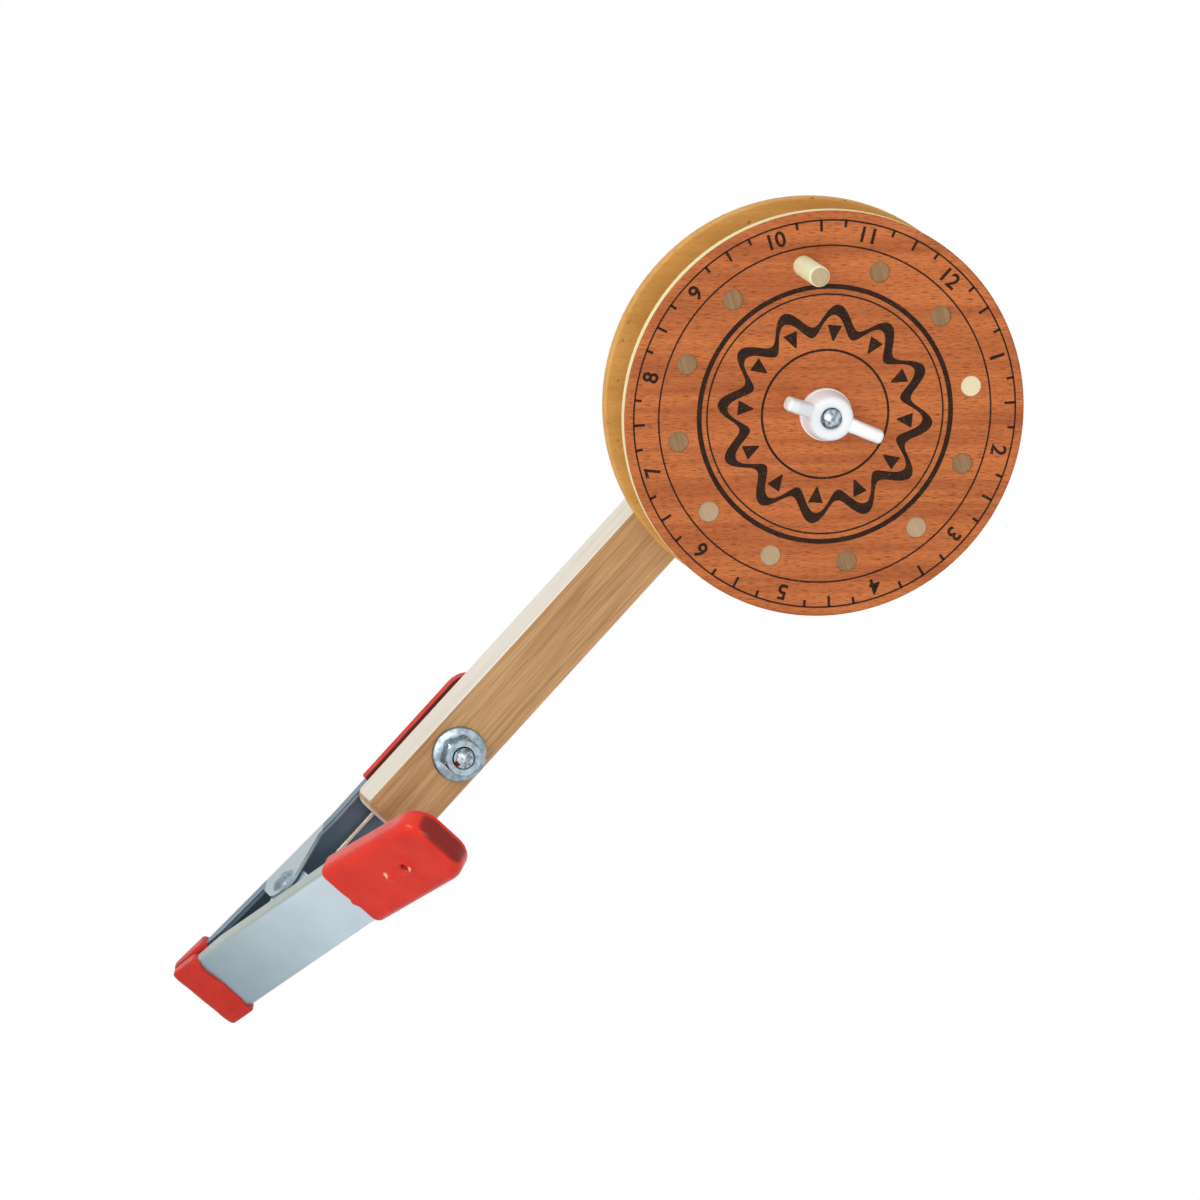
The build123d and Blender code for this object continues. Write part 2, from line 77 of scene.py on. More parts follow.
POINT_RADIUS = 1e-7
Colour = tuple[float, float, float, float]
Direction = tuple[float, float, float]
Level = tuple[np.ndarray, float]
Spot = tuple[np.ndarray, float, Colour]
Node = bpy.types.Node
Socket = bpy.types.NodeSocket
Material = bpy.types.Material
Piece = bpy.types.Object


class Body(str, Enum):
    """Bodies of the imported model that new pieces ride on."""

    STAND = "stand"
    SPOOL = "spool"
    FRONT_CLAMP = "front_clamp"
    NUT = "nut"


class Side(Enum):
    """Which lever of the clamp a piece belongs to, as the sign of its side of the clamp's middle plane."""

    REAR = 1.0
    FRONT = -1.0

    @property
    def word(self) -> str:
        """Word for the side in the names of nodes and pieces."""
        return self.name.lower()

    @property
    def body(self) -> Body:
        """Body that the side's lever belongs to."""
        return Body.STAND if self is Side.REAR else Body.FRONT_CLAMP


def screen(red: float, green: float, blue: float) -> Colour:
    """Linear colour from 8-bit screen values, by the usual two-part curve.

    Args:
        red: Red from 0 to 255.
        green: Green from 0 to 255.
        blue: Blue from 0 to 255.

    Returns:
        Linear red, green, blue and full alpha.
    """
    value = np.array((red, green, blue)) / 255.0
    linear = np.where(value <= 0.04045, value / 12.92, ((value + 0.055) / 1.055) ** 2.4)
    return (float(linear[0]), float(linear[1]), float(linear[2]), 1.0)


# Meshes from grids of points
def grid_faces(rows: int, columns: int, close_rows: bool, close_columns: bool) -> np.ndarray:
    """Corner numbers of the four-sided faces between neighbouring points of a grid.

    Args:
        rows: Number of rows of points.
        columns: Number of points in a row.
        close_rows: Whether the last row joins the first.
        close_columns: Whether the last column joins the first.

    Returns:
        One row of four corner numbers per face.
    """
    row = np.arange(rows if close_rows else rows - 1)
    column = np.arange(columns if close_columns else columns - 1)
    first, left = np.meshgrid(row, column, indexing="ij")
    second = (first + 1) % rows
    right = (left + 1) % columns
    near, far = first * columns, second * columns
    return np.stack((near + left, far + left, far + right, near + right), axis=-1).reshape(-1, 4)


def seal(mesh: bpy.types.Mesh, outwards: bool = True) -> None:
    """Merge doubled points, drop empty faces and turn the faces of a closed form outwards.

    Args:
        mesh: Mesh to mend in place.
        outwards: Whether the faces are turned outwards.
    """
    work = bmesh.new()
    work.from_mesh(mesh)
    bmesh.ops.remove_doubles(work, verts=work.verts, dist=SAME_POINT)
    bmesh.ops.dissolve_degenerate(work, edges=work.edges, dist=EMPTY_FACE)
    if outwards:
        bmesh.ops.recalc_face_normals(work, faces=work.faces)
    work.to_mesh(mesh)
    work.free()


def mesh_piece(name: str, points: np.ndarray, faces: np.ndarray, crease: float = 40.0, closed: bool = True,
               ) -> Piece:
    """Object at the origin from points and four-sided faces, smooth except over sharp edges.

    Args:
        name: Name of the piece.
        points: One row of x, y and z per point, in metres.
        faces: One row of four corner numbers per face.
        crease: Angle in degrees past which an edge stays sharp.
        closed: Whether the piece is a closed form.

    Returns:
        The new object, in the scene.
    """
    mesh = bpy.data.meshes.new(name)
    mesh.from_pydata(points.reshape(-1, 3).tolist(), [], faces.tolist())
    seal(mesh, closed)
    mesh.polygons.foreach_set("use_smooth", np.ones(len(mesh.polygons), dtype=bool))
    mesh.set_sharp_from_angle(angle=radians(crease))
    mesh.update()
    piece = bpy.data.objects.new(name, mesh)
    bpy.context.scene.collection.objects.link(piece)
    return piece


def grid_piece(name: str, points: np.ndarray, close_rows: bool = False, close_columns: bool = False,
               crease: float = 40.0, closed: bool = True) -> Piece:
    """Object at the origin from a grid of points.

    Args:
        name: Name of the piece.
        points: Grid of points, rows by columns by three, in metres.
        close_rows: Whether the last row joins the first.
        close_columns: Whether the last column joins the first.
        crease: Angle in degrees past which an edge stays sharp.
        closed: Whether the piece is a closed form.

    Returns:
        The new object, in the scene.
    """
    faces = grid_faces(points.shape[0], points.shape[1], close_rows, close_columns)
    return mesh_piece(name, points, faces, crease, closed)


def full_turn(count: int) -> np.ndarray:
    """Angles of even steps once round."""
    return np.linspace(0, 2 * pi, count, endpoint=False)


def turned_points(radius: np.ndarray, depth: np.ndarray, centre: np.ndarray, angle: np.ndarray) -> np.ndarray:
    """Points round a line along Y: x = r cos a and z = r sin a from the line, at each depth.

    Args:
        radius: Radius of each profile point, or of each profile point at each angle, in metres.
        depth: Y of each profile point, in metres.
        centre: A point on the line.
        angle: Angles round the line.

    Returns:
        Grid of points, profile by angles by three.
    """
    if radius.ndim == 1:
        radius = radius[:, None]
    x = centre[0] + radius * np.cos(angle)
    z = centre[2] + radius * np.sin(angle)
    return np.stack((x, np.broadcast_to(depth[:, None], x.shape), z), axis=-1)


def rounded_section(half_across: np.ndarray, half_up: np.ndarray, power: float, count: int,
                    ) -> tuple[np.ndarray, np.ndarray]:
    """Rounded-box sections: the curve |x/a|^n + |y/b|^n = 1, one for each pair of half sizes.

    Args:
        half_across: Half width of each section.
        half_up: Half height of each section.
        power: Exponent n; larger is squarer.
        count: Points round each section.

    Returns:
        Offsets across and up, sections by points.
    """
    angle = full_turn(count)
    across = np.sign(np.cos(angle)) * np.abs(np.cos(angle)) ** (2 / power)
    up = np.sign(np.sin(angle)) * np.abs(np.sin(angle)) ** (2 / power)
    return half_across[:, None] * across, half_up[:, None] * up


# Shader helpers
class Graph:
    """Adds nodes to a tree and joins them in few words."""

    def __init__(self, tree: bpy.types.NodeTree) -> None:
        """Keep the tree that nodes go into."""
        self.tree = tree

    def add(self, kind: str, values: dict[str | int, object] | None = None, **settings: object) -> Node:
        """Add a node, set its fields, and set or join its inputs.

        Args:
            kind: Node type name.
            values: Input name or number to a plain value or to the socket that feeds it.
            **settings: Node fields to set first.

        Returns:
            The new node.
        """
        node = self.tree.nodes.new(kind)
        for name, setting in settings.items():
            setattr(node, name, setting)
        for key, value in (values or {}).items():
            if isinstance(value, Socket):
                self.join(value, node.inputs[key])
            else:
                node.inputs[key].default_value = value
        return node

    def math(self, operation: str, first: object, second: object = 0.0, clamp: bool = False) -> Socket:
        """Result of a sum on one or two values."""
        node = self.add("ShaderNodeMath", {0: first, 1: second}, operation=operation, use_clamp=clamp)
        return node.outputs[0]

    def plus(self, first: object, second: object) -> Socket:
        """Sum of two values."""
        return self.math("ADD", first, second)

    def minus(self, first: object, second: object) -> Socket:
        """First value less the second."""
        return self.math("SUBTRACT", first, second)

    def times(self, first: object, second: object) -> Socket:
        """Product of two values."""
        return self.math("MULTIPLY", first, second)

    def gap(self, value: object, middle: float) -> Socket:
        """Distance of a value from a middle, to either side."""
        return self.math("ABSOLUTE", self.minus(value, middle))

    def ramp(self, value: object, low: float, high: float) -> Socket:
        """Value carried smoothly from 0 at low to 1 at high."""
        values = {"Value": value, "From Min": low, "From Max": high}
        return self.add("ShaderNodeMapRange", values, interpolation_type="SMOOTHSTEP").outputs["Result"]

    def near(self, value: object, level: float, start: float, full: float) -> Socket:
        """Value carried from 0, at a start short of a level, to 1 at a smaller distance from it."""
        return self.ramp(value, level - start, level - full)

    def mix(self, share: object, first: object, second: object) -> Socket:
        """Colour between two colours."""
        node = self.add("ShaderNodeMix", {0: share, 6: first, 7: second}, data_type="RGBA")
        return node.outputs[2]

    def noise(self, place: object, scale: object, detail: float = 3.0, roughness: float = 0.55) -> Socket:
        """Cloudy value at a place."""
        values = {"Vector": place, "Scale": scale, "Detail": detail, "Roughness": roughness}
        return self.add("ShaderNodeTexNoise", values).outputs[0]

    def dot(self, place: object, way: np.ndarray) -> Socket:
        """Distance of a place from the origin along a direction."""
        values = {0: place, 1: tuple(float(part) for part in way)}
        return self.add("ShaderNodeVectorMath", values, operation="DOT_PRODUCT").outputs["Value"]

    def turn(self, place: object, turn: Direction, shift: Direction = (0, 0, 0)) -> Socket:
        """Place that is turned, by angles about X, Y and Z, and shifted."""
        values = {"Vector": place, "Location": shift, "Rotation": turn}
        return self.add("ShaderNodeMapping", values).outputs[0]

    def stretch(self, place: object, size: Direction) -> Socket:
        """Place that is stretched along each axis."""
        return self.add("ShaderNodeVectorMath", {0: place, 1: size}, operation="MULTIPLY").outputs[0]

    def apart(self, place: object, middle: np.ndarray) -> Socket:
        """Distance of a place from a point."""
        values = {0: place, 1: tuple(float(part) for part in middle)}
        return self.add("ShaderNodeVectorMath", values, operation="DISTANCE").outputs["Value"]

    def parts(self, place: object) -> list[Socket]:
        """X, Y and Z of a place."""
        return list(self.add("ShaderNodeSeparateXYZ", {0: place}).outputs)

    def join(self, source: Socket, target: Socket) -> None:
        """Let one socket feed another."""
        self.tree.links.new(source, target)


def new_group(name: str, inputs: dict[str, str], outputs: dict[str, str],
              ) -> tuple[Graph, dict[str, Socket], Node]:
    """Empty shader group with named sockets.

    Args:
        name: Name of the group.
        inputs: Kind of each input by its name.
        outputs: Kind of each output by its name.

    Returns:
        A graph on the group, its input sockets by name and its output node.
    """
    tree = bpy.data.node_groups.new(name, "ShaderNodeTree")
    for way, sockets in (("INPUT", inputs), ("OUTPUT", outputs)):
        for label, kind in sockets.items():
            tree.interface.new_socket(label, in_out=way, socket_type=f"NodeSocket{kind}")
    graph = Graph(tree)
    entry = graph.add("NodeGroupInput")
    leaving = graph.add("NodeGroupOutput")
    return graph, {label: entry.outputs[label] for label in inputs}, leaving


def wood_group() -> bpy.types.NodeTree:
    """Grain of sawn wood along X: broad bands, long streaks and short dark pores.

    Returns:
        The shader group.
    """
    graph, given, leaving = new_group(
        "wood_grain",
        {"Place": "Vector", "Light": "Color", "Dark": "Color", "Pore": "Color", "Band Width": "Float",
         "Pore Length": "Float", "Pore Width": "Float", "Pore Strength": "Float"},
        {"Color": "Color", "Height": "Float"},
    )
    x, y, z = graph.parts(given["Place"])

    def scaled(along: object, across: object) -> Socket:
        """Place in units of a length along the grain and a width across it.

        Args:
            along: Length along the grain.
            across: Width across it.

        Returns:
            The place.
        """
        pairs = ((x, along), (y, across), (z, across))
        shares = {number: graph.math("DIVIDE", *pair) for number, pair in enumerate(pairs)}
        return graph.add("ShaderNodeCombineXYZ", shares).outputs[0]

    width = given["Band Width"]
    band_stretch, streak_stretch, streak_part = 14.0, 9.0, 0.22
    band_place = scaled(graph.times(width, band_stretch), width)
    bands = graph.noise(band_place, 1.0, detail=2.0, roughness=0.5)
    streak_width = graph.times(width, streak_part)
    streak_place = scaled(graph.times(width, streak_stretch), streak_width)
    streaks = graph.noise(streak_place, 1.0, detail=3.0, roughness=0.6)
    pore_place = scaled(given["Pore Length"], given["Pore Width"])
    pores = graph.noise(pore_place, 1.0, detail=2.0, roughness=0.6)
    band_share, streak_share = 0.62, 0.38
    band_range, streak_range, pore_range = (0.32, 0.68), (0.3, 0.7), (0.5, 0.7)
    tone = graph.plus(graph.times(graph.ramp(bands, *band_range), band_share),
                      graph.times(graph.ramp(streaks, *streak_range), streak_share))
    ground = graph.mix(tone, given["Dark"], given["Light"])
    specks = graph.ramp(pores, *pore_range)
    share = graph.times(specks, given["Pore Strength"])
    colour = graph.mix(share, ground, given["Pore"])
    graph.join(colour, leaving.inputs["Color"])
    graph.join(graph.minus(1.0, specks), leaving.inputs["Height"])
    return graph.tree


def mottle_group() -> bpy.types.NodeTree:
    """Soft clouding and fine speckle that keep a smooth surface from looking flat.

    Returns:
        The shader group.
    """
    graph, given, leaving = new_group(
        "soft_mottle",
        {"Place": "Vector", "Color": "Color", "Shade": "Color", "Cloud Size": "Float",
         "Speckle Size": "Float", "Roughness": "Float", "Roughness Change": "Float"},
        {"Color": "Color", "Roughness": "Float", "Height": "Float"},
    )
    cloud_scale = graph.math("DIVIDE", 1.0, given["Cloud Size"])
    speckle_scale = graph.math("DIVIDE", 1.0, given["Speckle Size"])
    clouds = graph.noise(given["Place"], cloud_scale)
    specks = graph.noise(given["Place"], speckle_scale, detail=2.0)
    cloud_share, speck_share = 0.75, 0.25
    cloud_range, speck_range, middle = (0.35, 0.68), (0.5, 0.75), 0.5
    share = graph.plus(graph.times(graph.ramp(clouds, *cloud_range), cloud_share),
                       graph.times(graph.ramp(specks, *speck_range), speck_share))
    colour = graph.mix(share, given["Color"], given["Shade"])
    change = graph.times(graph.minus(share, middle), given["Roughness Change"])
    graph.join(colour, leaving.inputs["Color"])
    graph.join(graph.plus(given["Roughness"], change), leaving.inputs["Roughness"])
    graph.join(specks, leaving.inputs["Height"])
    return graph.tree


@dataclass(frozen=True)
class WoodFinish:
    """Colours and grain of one wood, with its polish."""

    light: Colour
    dark: Colour
    pore: Colour
    band_width: float = 0.004
    pore_length: float = 0.004
    pore_width: float = 0.0003
    pore_strength: float = 0.5
    roughness: float = 0.5
    relief: float = 0.00002
    specular: float = 0.18


@dataclass(frozen=True)
class SmoothFinish:
    """Colour, clouding and gloss of a metal or plastic surface."""

    colour: Colour
    shade: Colour
    metallic: float = 0.0
    roughness: float = 0.4
    roughness_change: float = 0.1
    cloud_size: float = 0.006
    speckle_size: float = 0.0005
    relief: float = 0.0
    specular: float = 0.5


STAIN = WoodFinish(
    light=screen(218, 125, 68), dark=screen(176, 93, 48), pore=screen(108, 55, 28),
    band_width=0.006, pore_length=0.0028, pore_width=0.00024, pore_strength=0.85, roughness=0.5,
)
GOLDEN_PLY = WoodFinish(
    light=screen(240, 184, 104), dark=screen(222, 164, 84), pore=screen(186, 130, 64),
    band_width=0.008, pore_length=0.002, pore_width=0.0003, pore_strength=0.35, roughness=0.6,
)
PLY_EDGE = WoodFinish(
    light=screen(255, 247, 198), dark=screen(254, 238, 172), pore=screen(232, 204, 136),
    band_width=0.0016, pore_length=0.006, pore_width=0.0002, pore_strength=0.3,
)
DOWEL_END = WoodFinish(
    light=screen(170, 132, 92), dark=screen(140, 104, 70), pore=screen(110, 82, 54),
    band_width=0.0011, pore_length=0.0006, pore_width=0.00018, pore_strength=0.5,
)
DOWEL_SIDE = WoodFinish(
    light=screen(255, 246, 208), dark=screen(248, 230, 180), pore=screen(222, 194, 140),
    band_width=0.0014, pore_length=0.006, pore_width=0.0002, pore_strength=0.3, roughness=0.5,
)
PEG_SIDE = WoodFinish(
    light=screen(255, 255, 222), dark=screen(255, 249, 198), pore=screen(244, 222, 160),
    band_width=0.0014, pore_length=0.006, pore_width=0.0002, pore_strength=0.25, roughness=0.5,
)
OAK = WoodFinish(
    light=screen(216, 174, 126), dark=screen(182, 138, 92), pore=screen(138, 94, 56),
    band_width=0.0036, pore_length=0.02, pore_width=0.0004, pore_strength=0.45, roughness=0.55,
)
# Paler copy of the oak as painted light on the arm's narrow sides; its sawn ends take it too.
OAK_PAINTED_LIGHT = WoodFinish(
    light=screen(250, 245, 234), dark=screen(240, 230, 212), pore=screen(218, 202, 174),
    band_width=0.003, pore_length=0.012, pore_width=0.00028, pore_strength=0.35,
)
ZINC = SmoothFinish(
    colour=screen(158, 172, 180), shade=screen(106, 120, 130), metallic=1.0,
    roughness=0.31, roughness_change=0.12, cloud_size=0.0022, speckle_size=0.0004,
)
# Painted shade and glints: dark and bright clouds on the bolts' threads.
THREAD_PAINTED_SHADE_AND_GLINTS = SmoothFinish(
    colour=screen(196, 208, 216), shade=screen(44, 52, 62), metallic=1.0,
    roughness=0.2, cloud_size=0.0013, speckle_size=0.0003,
)
LEVER_STEEL = SmoothFinish(
    colour=screen(208, 224, 232), shade=screen(196, 214, 224), metallic=0.7, roughness=0.36, cloud_size=0.02,
)
SPRING_STEEL = SmoothFinish(
    colour=screen(226, 216, 200), shade=screen(196, 182, 162), metallic=0.7,
    roughness=0.35, roughness_change=0.05, cloud_size=0.01, speckle_size=0.002,
)
RED_VINYL = SmoothFinish(
    colour=screen(236, 58, 40), shade=screen(222, 48, 36), roughness=0.26, roughness_change=0.08,
    cloud_size=0.008, speckle_size=0.0007, relief=0.000004, specular=0.2,
)
REAR_VINYL = SmoothFinish(
    colour=screen(232, 54, 38), shade=screen(220, 46, 34), roughness=0.4, roughness_change=0.08,
    cloud_size=0.008, speckle_size=0.0007, relief=0.000004, specular=0.04,
)
TIP_VINYL = SmoothFinish(
    colour=screen(214, 54, 40), shade=screen(198, 44, 34), roughness=0.3, roughness_change=0.08,
    speckle_size=0.0007, relief=0.000004, specular=0.2,
)
WHITE_NYLON = SmoothFinish(
    colour=screen(250, 254, 255), shade=screen(246, 250, 252), roughness=0.45, roughness_change=0.08,
    cloud_size=0.005, specular=0.3,
)
INK = SmoothFinish(
    colour=screen(44, 29, 22), shade=screen(62, 42, 30), roughness=0.6,
    cloud_size=0.003, speckle_size=0.00035, specular=0.08,
)
# Painted shade: the levers' web darkens to this towards the jaw.
LEVER_PAINTED_SHADE = screen(144, 164, 173)
FRONT_RIM = screen(172, 182, 177)
REAR_RIM = screen(176, 190, 196)
# Painted shade for the levers' hollows and for the rear rim away from its ear.
HOLLOW_PAINTED_SHADE = screen(106, 132, 150)
# Painted shade on the grips' closed ends and in the pit of a drip mark.
VINYL_PAINTED_SHADE = screen(140, 34, 28)
# Painted shadow along the rear grip's rim, where it meets the arm.
VINYL_PAINTED_SHADOW = screen(96, 30, 24)
# Painted highlight on the drip marks of the front grip.
VINYL_PAINTED_HIGHLIGHT = screen(252, 214, 178)
PALE_END = screen(252, 236, 196)


class Finishes:
    """All materials of the reel, each built once from its finish."""

    def __init__(self) -> None:
        """Build the two shared groups and an empty shelf of materials."""
        self.wood = wood_group()
        self.mottle = mottle_group()
        self.shelf: dict[str, Material] = {}

    def start(self, name: str) -> tuple[Material, Graph, Node, Socket]:
        """New material with a surface shader and object coordinates.

        Args:
            name: Name of the material.

        Returns:
            The material, its graph, its shader and the place socket.
        """
        material = bpy.data.materials.new(name)
        material.use_nodes = True
        graph = Graph(material.node_tree)
        shader = material.node_tree.nodes["Principled BSDF"]
        place = graph.add("ShaderNodeTexCoord").outputs["Object"]
        return material, graph, shader, place

    def grain(self, graph: Graph, finish: WoodFinish, place: Socket) -> Node:
        """Wood group with the values of one finish, at a place whose X runs along the grain."""
        values = {
            "Place": place, "Light": finish.light, "Dark": finish.dark, "Pore": finish.pore,
            "Band Width": finish.band_width, "Pore Length": finish.pore_length,
            "Pore Width": finish.pore_width, "Pore Strength": finish.pore_strength,
        }
        return graph.add("ShaderNodeGroup", values, node_tree=self.wood)

    def bump(self, graph: Graph, shader: Node, height: Socket, depth: float) -> None:
        """Raise a surface by a height pattern of a given depth in metres."""
        node = graph.add("ShaderNodeBump", {"Height": height, "Distance": depth, "Strength": 1.0})
        graph.join(node.outputs[0], shader.inputs["Normal"])

    def clouded(self, name: str, finish: SmoothFinish) -> tuple[Material, Graph, Node, Socket, Node]:
        """New material of a metal or plastic with all but its colour joined.

        Args:
            name: Name of the material.
            finish: Its colour and gloss.

        Returns:
            The material, its graph, its shader, the place socket and the clouding group.
        """
        material, graph, shader, place = self.start(name)
        values = {
            "Place": place, "Color": finish.colour, "Shade": finish.shade, "Roughness": finish.roughness,
            "Roughness Change": finish.roughness_change, "Cloud Size": finish.cloud_size,
            "Speckle Size": finish.speckle_size,
        }
        group = graph.add("ShaderNodeGroup", values, node_tree=self.mottle)
        graph.join(group.outputs["Roughness"], shader.inputs["Roughness"])
        shader.inputs["Metallic"].default_value = finish.metallic
        shader.inputs["Specular IOR Level"].default_value = finish.specular
        if finish.relief > 0:
            self.bump(graph, shader, group.outputs["Height"], finish.relief)
        self.shelf[name] = material
        return material, graph, shader, place, group

    def smooth(self, name: str, finish: SmoothFinish) -> Material:
        """Material of a plain metal or plastic surface, made once.

        Args:
            name: Name of the material.
            finish: Its colour and gloss.

        Returns:
            The material.
        """
        if name not in self.shelf:
            _, graph, shader, _, group = self.clouded(name, finish)
            graph.join(group.outputs["Color"], shader.inputs["Base Color"])
        return self.shelf[name]

    def lever(self, name: str, places: "ClampFrame", side: Side) -> Material:
        """Pressed steel: a pale web with painted shade towards the jaw, plain rims and painted shade in the
        hollow behind the web.

        The depth into the lever is the height, over a point, of the higher of the two outer planes.

        Args:
            name: Name of the material.
            places: Places on the clamp.
            side: Lever that is dressed.

        Returns:
            The material.
        """
        material, graph, shader, place, group = self.clouded(name, LEVER_STEEL)
        along_way, out_way = places.ways(side)
        along = graph.minus(graph.dot(place, along_way), float(along_way @ places.pivot))
        out = graph.minus(graph.dot(place, out_way), float(out_way @ places.pivot))
        jaw_plane = graph.plus(graph.times(along, tan(places.jaw_slope)), places.web)
        past_bend = graph.minus(along, places.bend)
        handle_plane = graph.plus(graph.times(past_bend, tan(places.slope)),
                                  places.web + places.bend * tan(places.jaw_slope))
        depth = graph.minus(graph.math("MAXIMUM", jaw_plane, handle_plane), out)
        across = graph.gap(graph.parts(place)[0], float(places.pivot[0]))
        # Painted shade: the web darkens towards the jaw.
        bright_end, shaded_end, shade_strength = 0.012, -0.04, 0.85
        painted_shade_share = graph.times(graph.ramp(along, bright_end, shaded_end), shade_strength)
        colour = graph.mix(painted_shade_share, group.outputs["Color"], LEVER_PAINTED_SHADE)
        rim = FRONT_RIM
        # Painted shade on the rear lever's rim away from its ear.
        if side is Side.REAR:
            ear_middle, ear_end, rim_begins = 0.0035, 0.0115, 0.0125
            off_ear = graph.ramp(graph.gap(along, ear_middle), ear_end, rim_begins)
            rim = graph.mix(off_ear, REAR_RIM, HOLLOW_PAINTED_SHADE)
        web_edge, rim_face = 0.0104, 0.0111
        colour = graph.mix(graph.ramp(across, web_edge, rim_face), colour, rim)
        # Painted shade in the hollow behind the web: a dark colour that is also less metallic.
        hollow_half = 0.0093 if side is Side.FRONT else 0.0104
        past_half, inside_half = 0.0003, 0.0002
        between = graph.ramp(across, hollow_half + past_half, hollow_half - inside_half)
        in_sheet, past_sheet = 0.0007, 0.0012
        inside = graph.times(graph.ramp(depth, in_sheet, past_sheet), between)
        colour = graph.mix(inside, colour, HOLLOW_PAINTED_SHADE)
        no_metal, all_metal = 1.2, 0.0
        metal = graph.times(graph.ramp(inside, no_metal, all_metal), LEVER_STEEL.metallic)
        graph.join(metal, shader.inputs["Metallic"])
        graph.join(colour, shader.inputs["Base Color"])
        return material

    def vinyl(self, name: str, finish: SmoothFinish, end: Level, edge: Level, edge_tone: Colour,
              spots: list[Spot]) -> Material:
        """Dipped vinyl with painted shade on its closed end, and a given colour along the edge of its rim.

        Args:
            name: Name of the material.
            finish: Colour and gloss of the vinyl.
            end: Direction along the handle, and the end's distance from the origin along it.
            edge: Direction into the handle, and the edge's distance from the origin along it.
            edge_tone: Colour along the edge: a painted shadow on the rear grip, the vinyl's own shade on the
                front.
            spots: Middle, radius and colour of each spot of painted highlight or painted shade on the drip
                marks.

        Returns:
            The material.
        """
        material, graph, shader, place, group = self.clouded(name, finish)
        (end_way, end_level), (edge_way, edge_level) = end, edge
        # Painted shade on the closed end of the grip.
        at_end = graph.near(graph.dot(place, end_way), end_level, start=0.002, full=0.0009)
        colour = graph.mix(at_end, group.outputs["Color"], VINYL_PAINTED_SHADE)
        # Along the rim's edge: a painted shadow on the rear grip, the vinyl's own shade on the front.
        at_edge = graph.near(graph.dot(place, edge_way), edge_level, start=0.0022, full=0.0015)
        colour = graph.mix(at_edge, colour, edge_tone)
        # Painted highlights and painted shade on the drip marks.
        for middle, radius, tone in spots:
            in_spot = graph.ramp(graph.apart(place, middle), radius, radius * 0.5)
            colour = graph.mix(in_spot, colour, tone)
        graph.join(colour, shader.inputs["Base Color"])
        return material

    def plain_wood(self, name: str, finish: WoodFinish, turn: Direction) -> Material:
        """Material of a single wood with its grain turned to run along the piece.

        Args:
            name: Name of the material.
            finish: The wood.
            turn: Turn that brings the grain to X, in radians.

        Returns:
            The material.
        """
        material, graph, shader, place = self.start(name)
        group = self.grain(graph, finish, graph.turn(place, turn))
        graph.join(group.outputs["Color"], shader.inputs["Base Color"])
        self.polish(graph, shader, finish, group.outputs["Height"])
        return material

    def polish(self, graph: Graph, shader: Node, finish: WoodFinish, height: Socket) -> None:
        """Give a wood shader its gloss and the relief of its pores.

        Args:
            graph: Graph of the material.
            shader: Its shader.
            finish: The wood.
            height: Height pattern of its pores.
        """
        shader.inputs["Roughness"].default_value = finish.roughness
        shader.inputs["Specular IOR Level"].default_value = finish.specular
        self.bump(graph, shader, height, finish.relief)

    def oak(self, name: str, middle: Vector, half: Vector) -> Material:
        """Oak bar with grain along Z, whose two narrow sides carry painted light, a paler copy of the oak
        that its sawn ends take too.

        Args:
            name: Name of the material.
            middle: Middle of the bar.
            half: Half of its size each way.

        Returns:
            The material.
        """
        material, graph, shader, place = self.start(name)
        turned = graph.turn(place, (0, radians(90), 0), shift=(0.02, 0.013, 0.004))
        face = self.grain(graph, OAK, turned)
        # Painted light: a paler copy of the oak on the narrow sides and sawn ends.
        painted_light = self.grain(graph, OAK_PAINTED_LIGHT, turned)
        x, _, z = graph.parts(place)
        at_side = graph.near(graph.gap(x, middle.x), half.x, start=0.0005, full=0.0002)
        at_end = graph.near(graph.gap(z, middle.z), half.z, start=0.0012, full=0.0004)
        paler = graph.math("MAXIMUM", at_side, at_end)
        colour = graph.mix(paler, face.outputs["Color"], painted_light.outputs["Color"])
        graph.join(colour, shader.inputs["Base Color"])
        self.polish(graph, shader, OAK, face.outputs["Height"])
        return material

    def flange(self, name: str, axle: Vector, radius: float, face_y: float, stained: bool) -> Material:
        """Plywood disc: golden with spots of stain, or stained on its front face with a pale edge of plies.

        Args:
            name: Name of the material.
            axle: A point on the axle.
            radius: Radius of the disc.
            face_y: Y of the disc's front face.
            stained: Whether the front face is stained.

        Returns:
            The material.
        """
        material, graph, shader, place = self.start(name)
        flat = graph.turn(place, (radians(-90), 0, 0))
        grain_angle = radians(-41.6)
        turned = graph.turn(flat, (0, 0, grain_angle))
        golden = self.grain(graph, GOLDEN_PLY, turned)
        if stained:
            x, y, z = graph.parts(place)
            across, up = graph.minus(x, axle.x), graph.minus(z, axle.z)
            squares = graph.plus(graph.times(across, across), graph.times(up, up))
            at_edge = graph.near(graph.math("SQRT", squares), radius, start=0.0007, full=0.0003)
            edge_stretch = (0.25, 1, 0.25)
            edge = self.grain(graph, PLY_EDGE, graph.stretch(place, edge_stretch))
            sides = graph.mix(at_edge, golden.outputs["Color"], edge.outputs["Color"])
            stain = self.grain(graph, STAIN, turned)
            wander_scale, wander_depth = 900.0, 0.0002
            wander = graph.times(graph.noise(place, wander_scale), wander_depth)
            depth = graph.plus(y, wander)
            stain_depth, stain_fade = 0.0009, 0.00015
            off_face = graph.ramp(depth, face_y + stain_depth, face_y + stain_depth + stain_fade)
            colour = graph.mix(off_face, stain.outputs["Color"], sides)
            self.polish(graph, shader, STAIN, stain.outputs["Height"])
        else:
            spot_scale, spot_range, spot_share = 500.0, (0.68, 0.74), 0.7
            spots = graph.ramp(graph.noise(place, spot_scale, detail=1.0), *spot_range)
            spatter = graph.times(spots, spot_share)
            colour = graph.mix(spatter, golden.outputs["Color"], STAIN.dark)
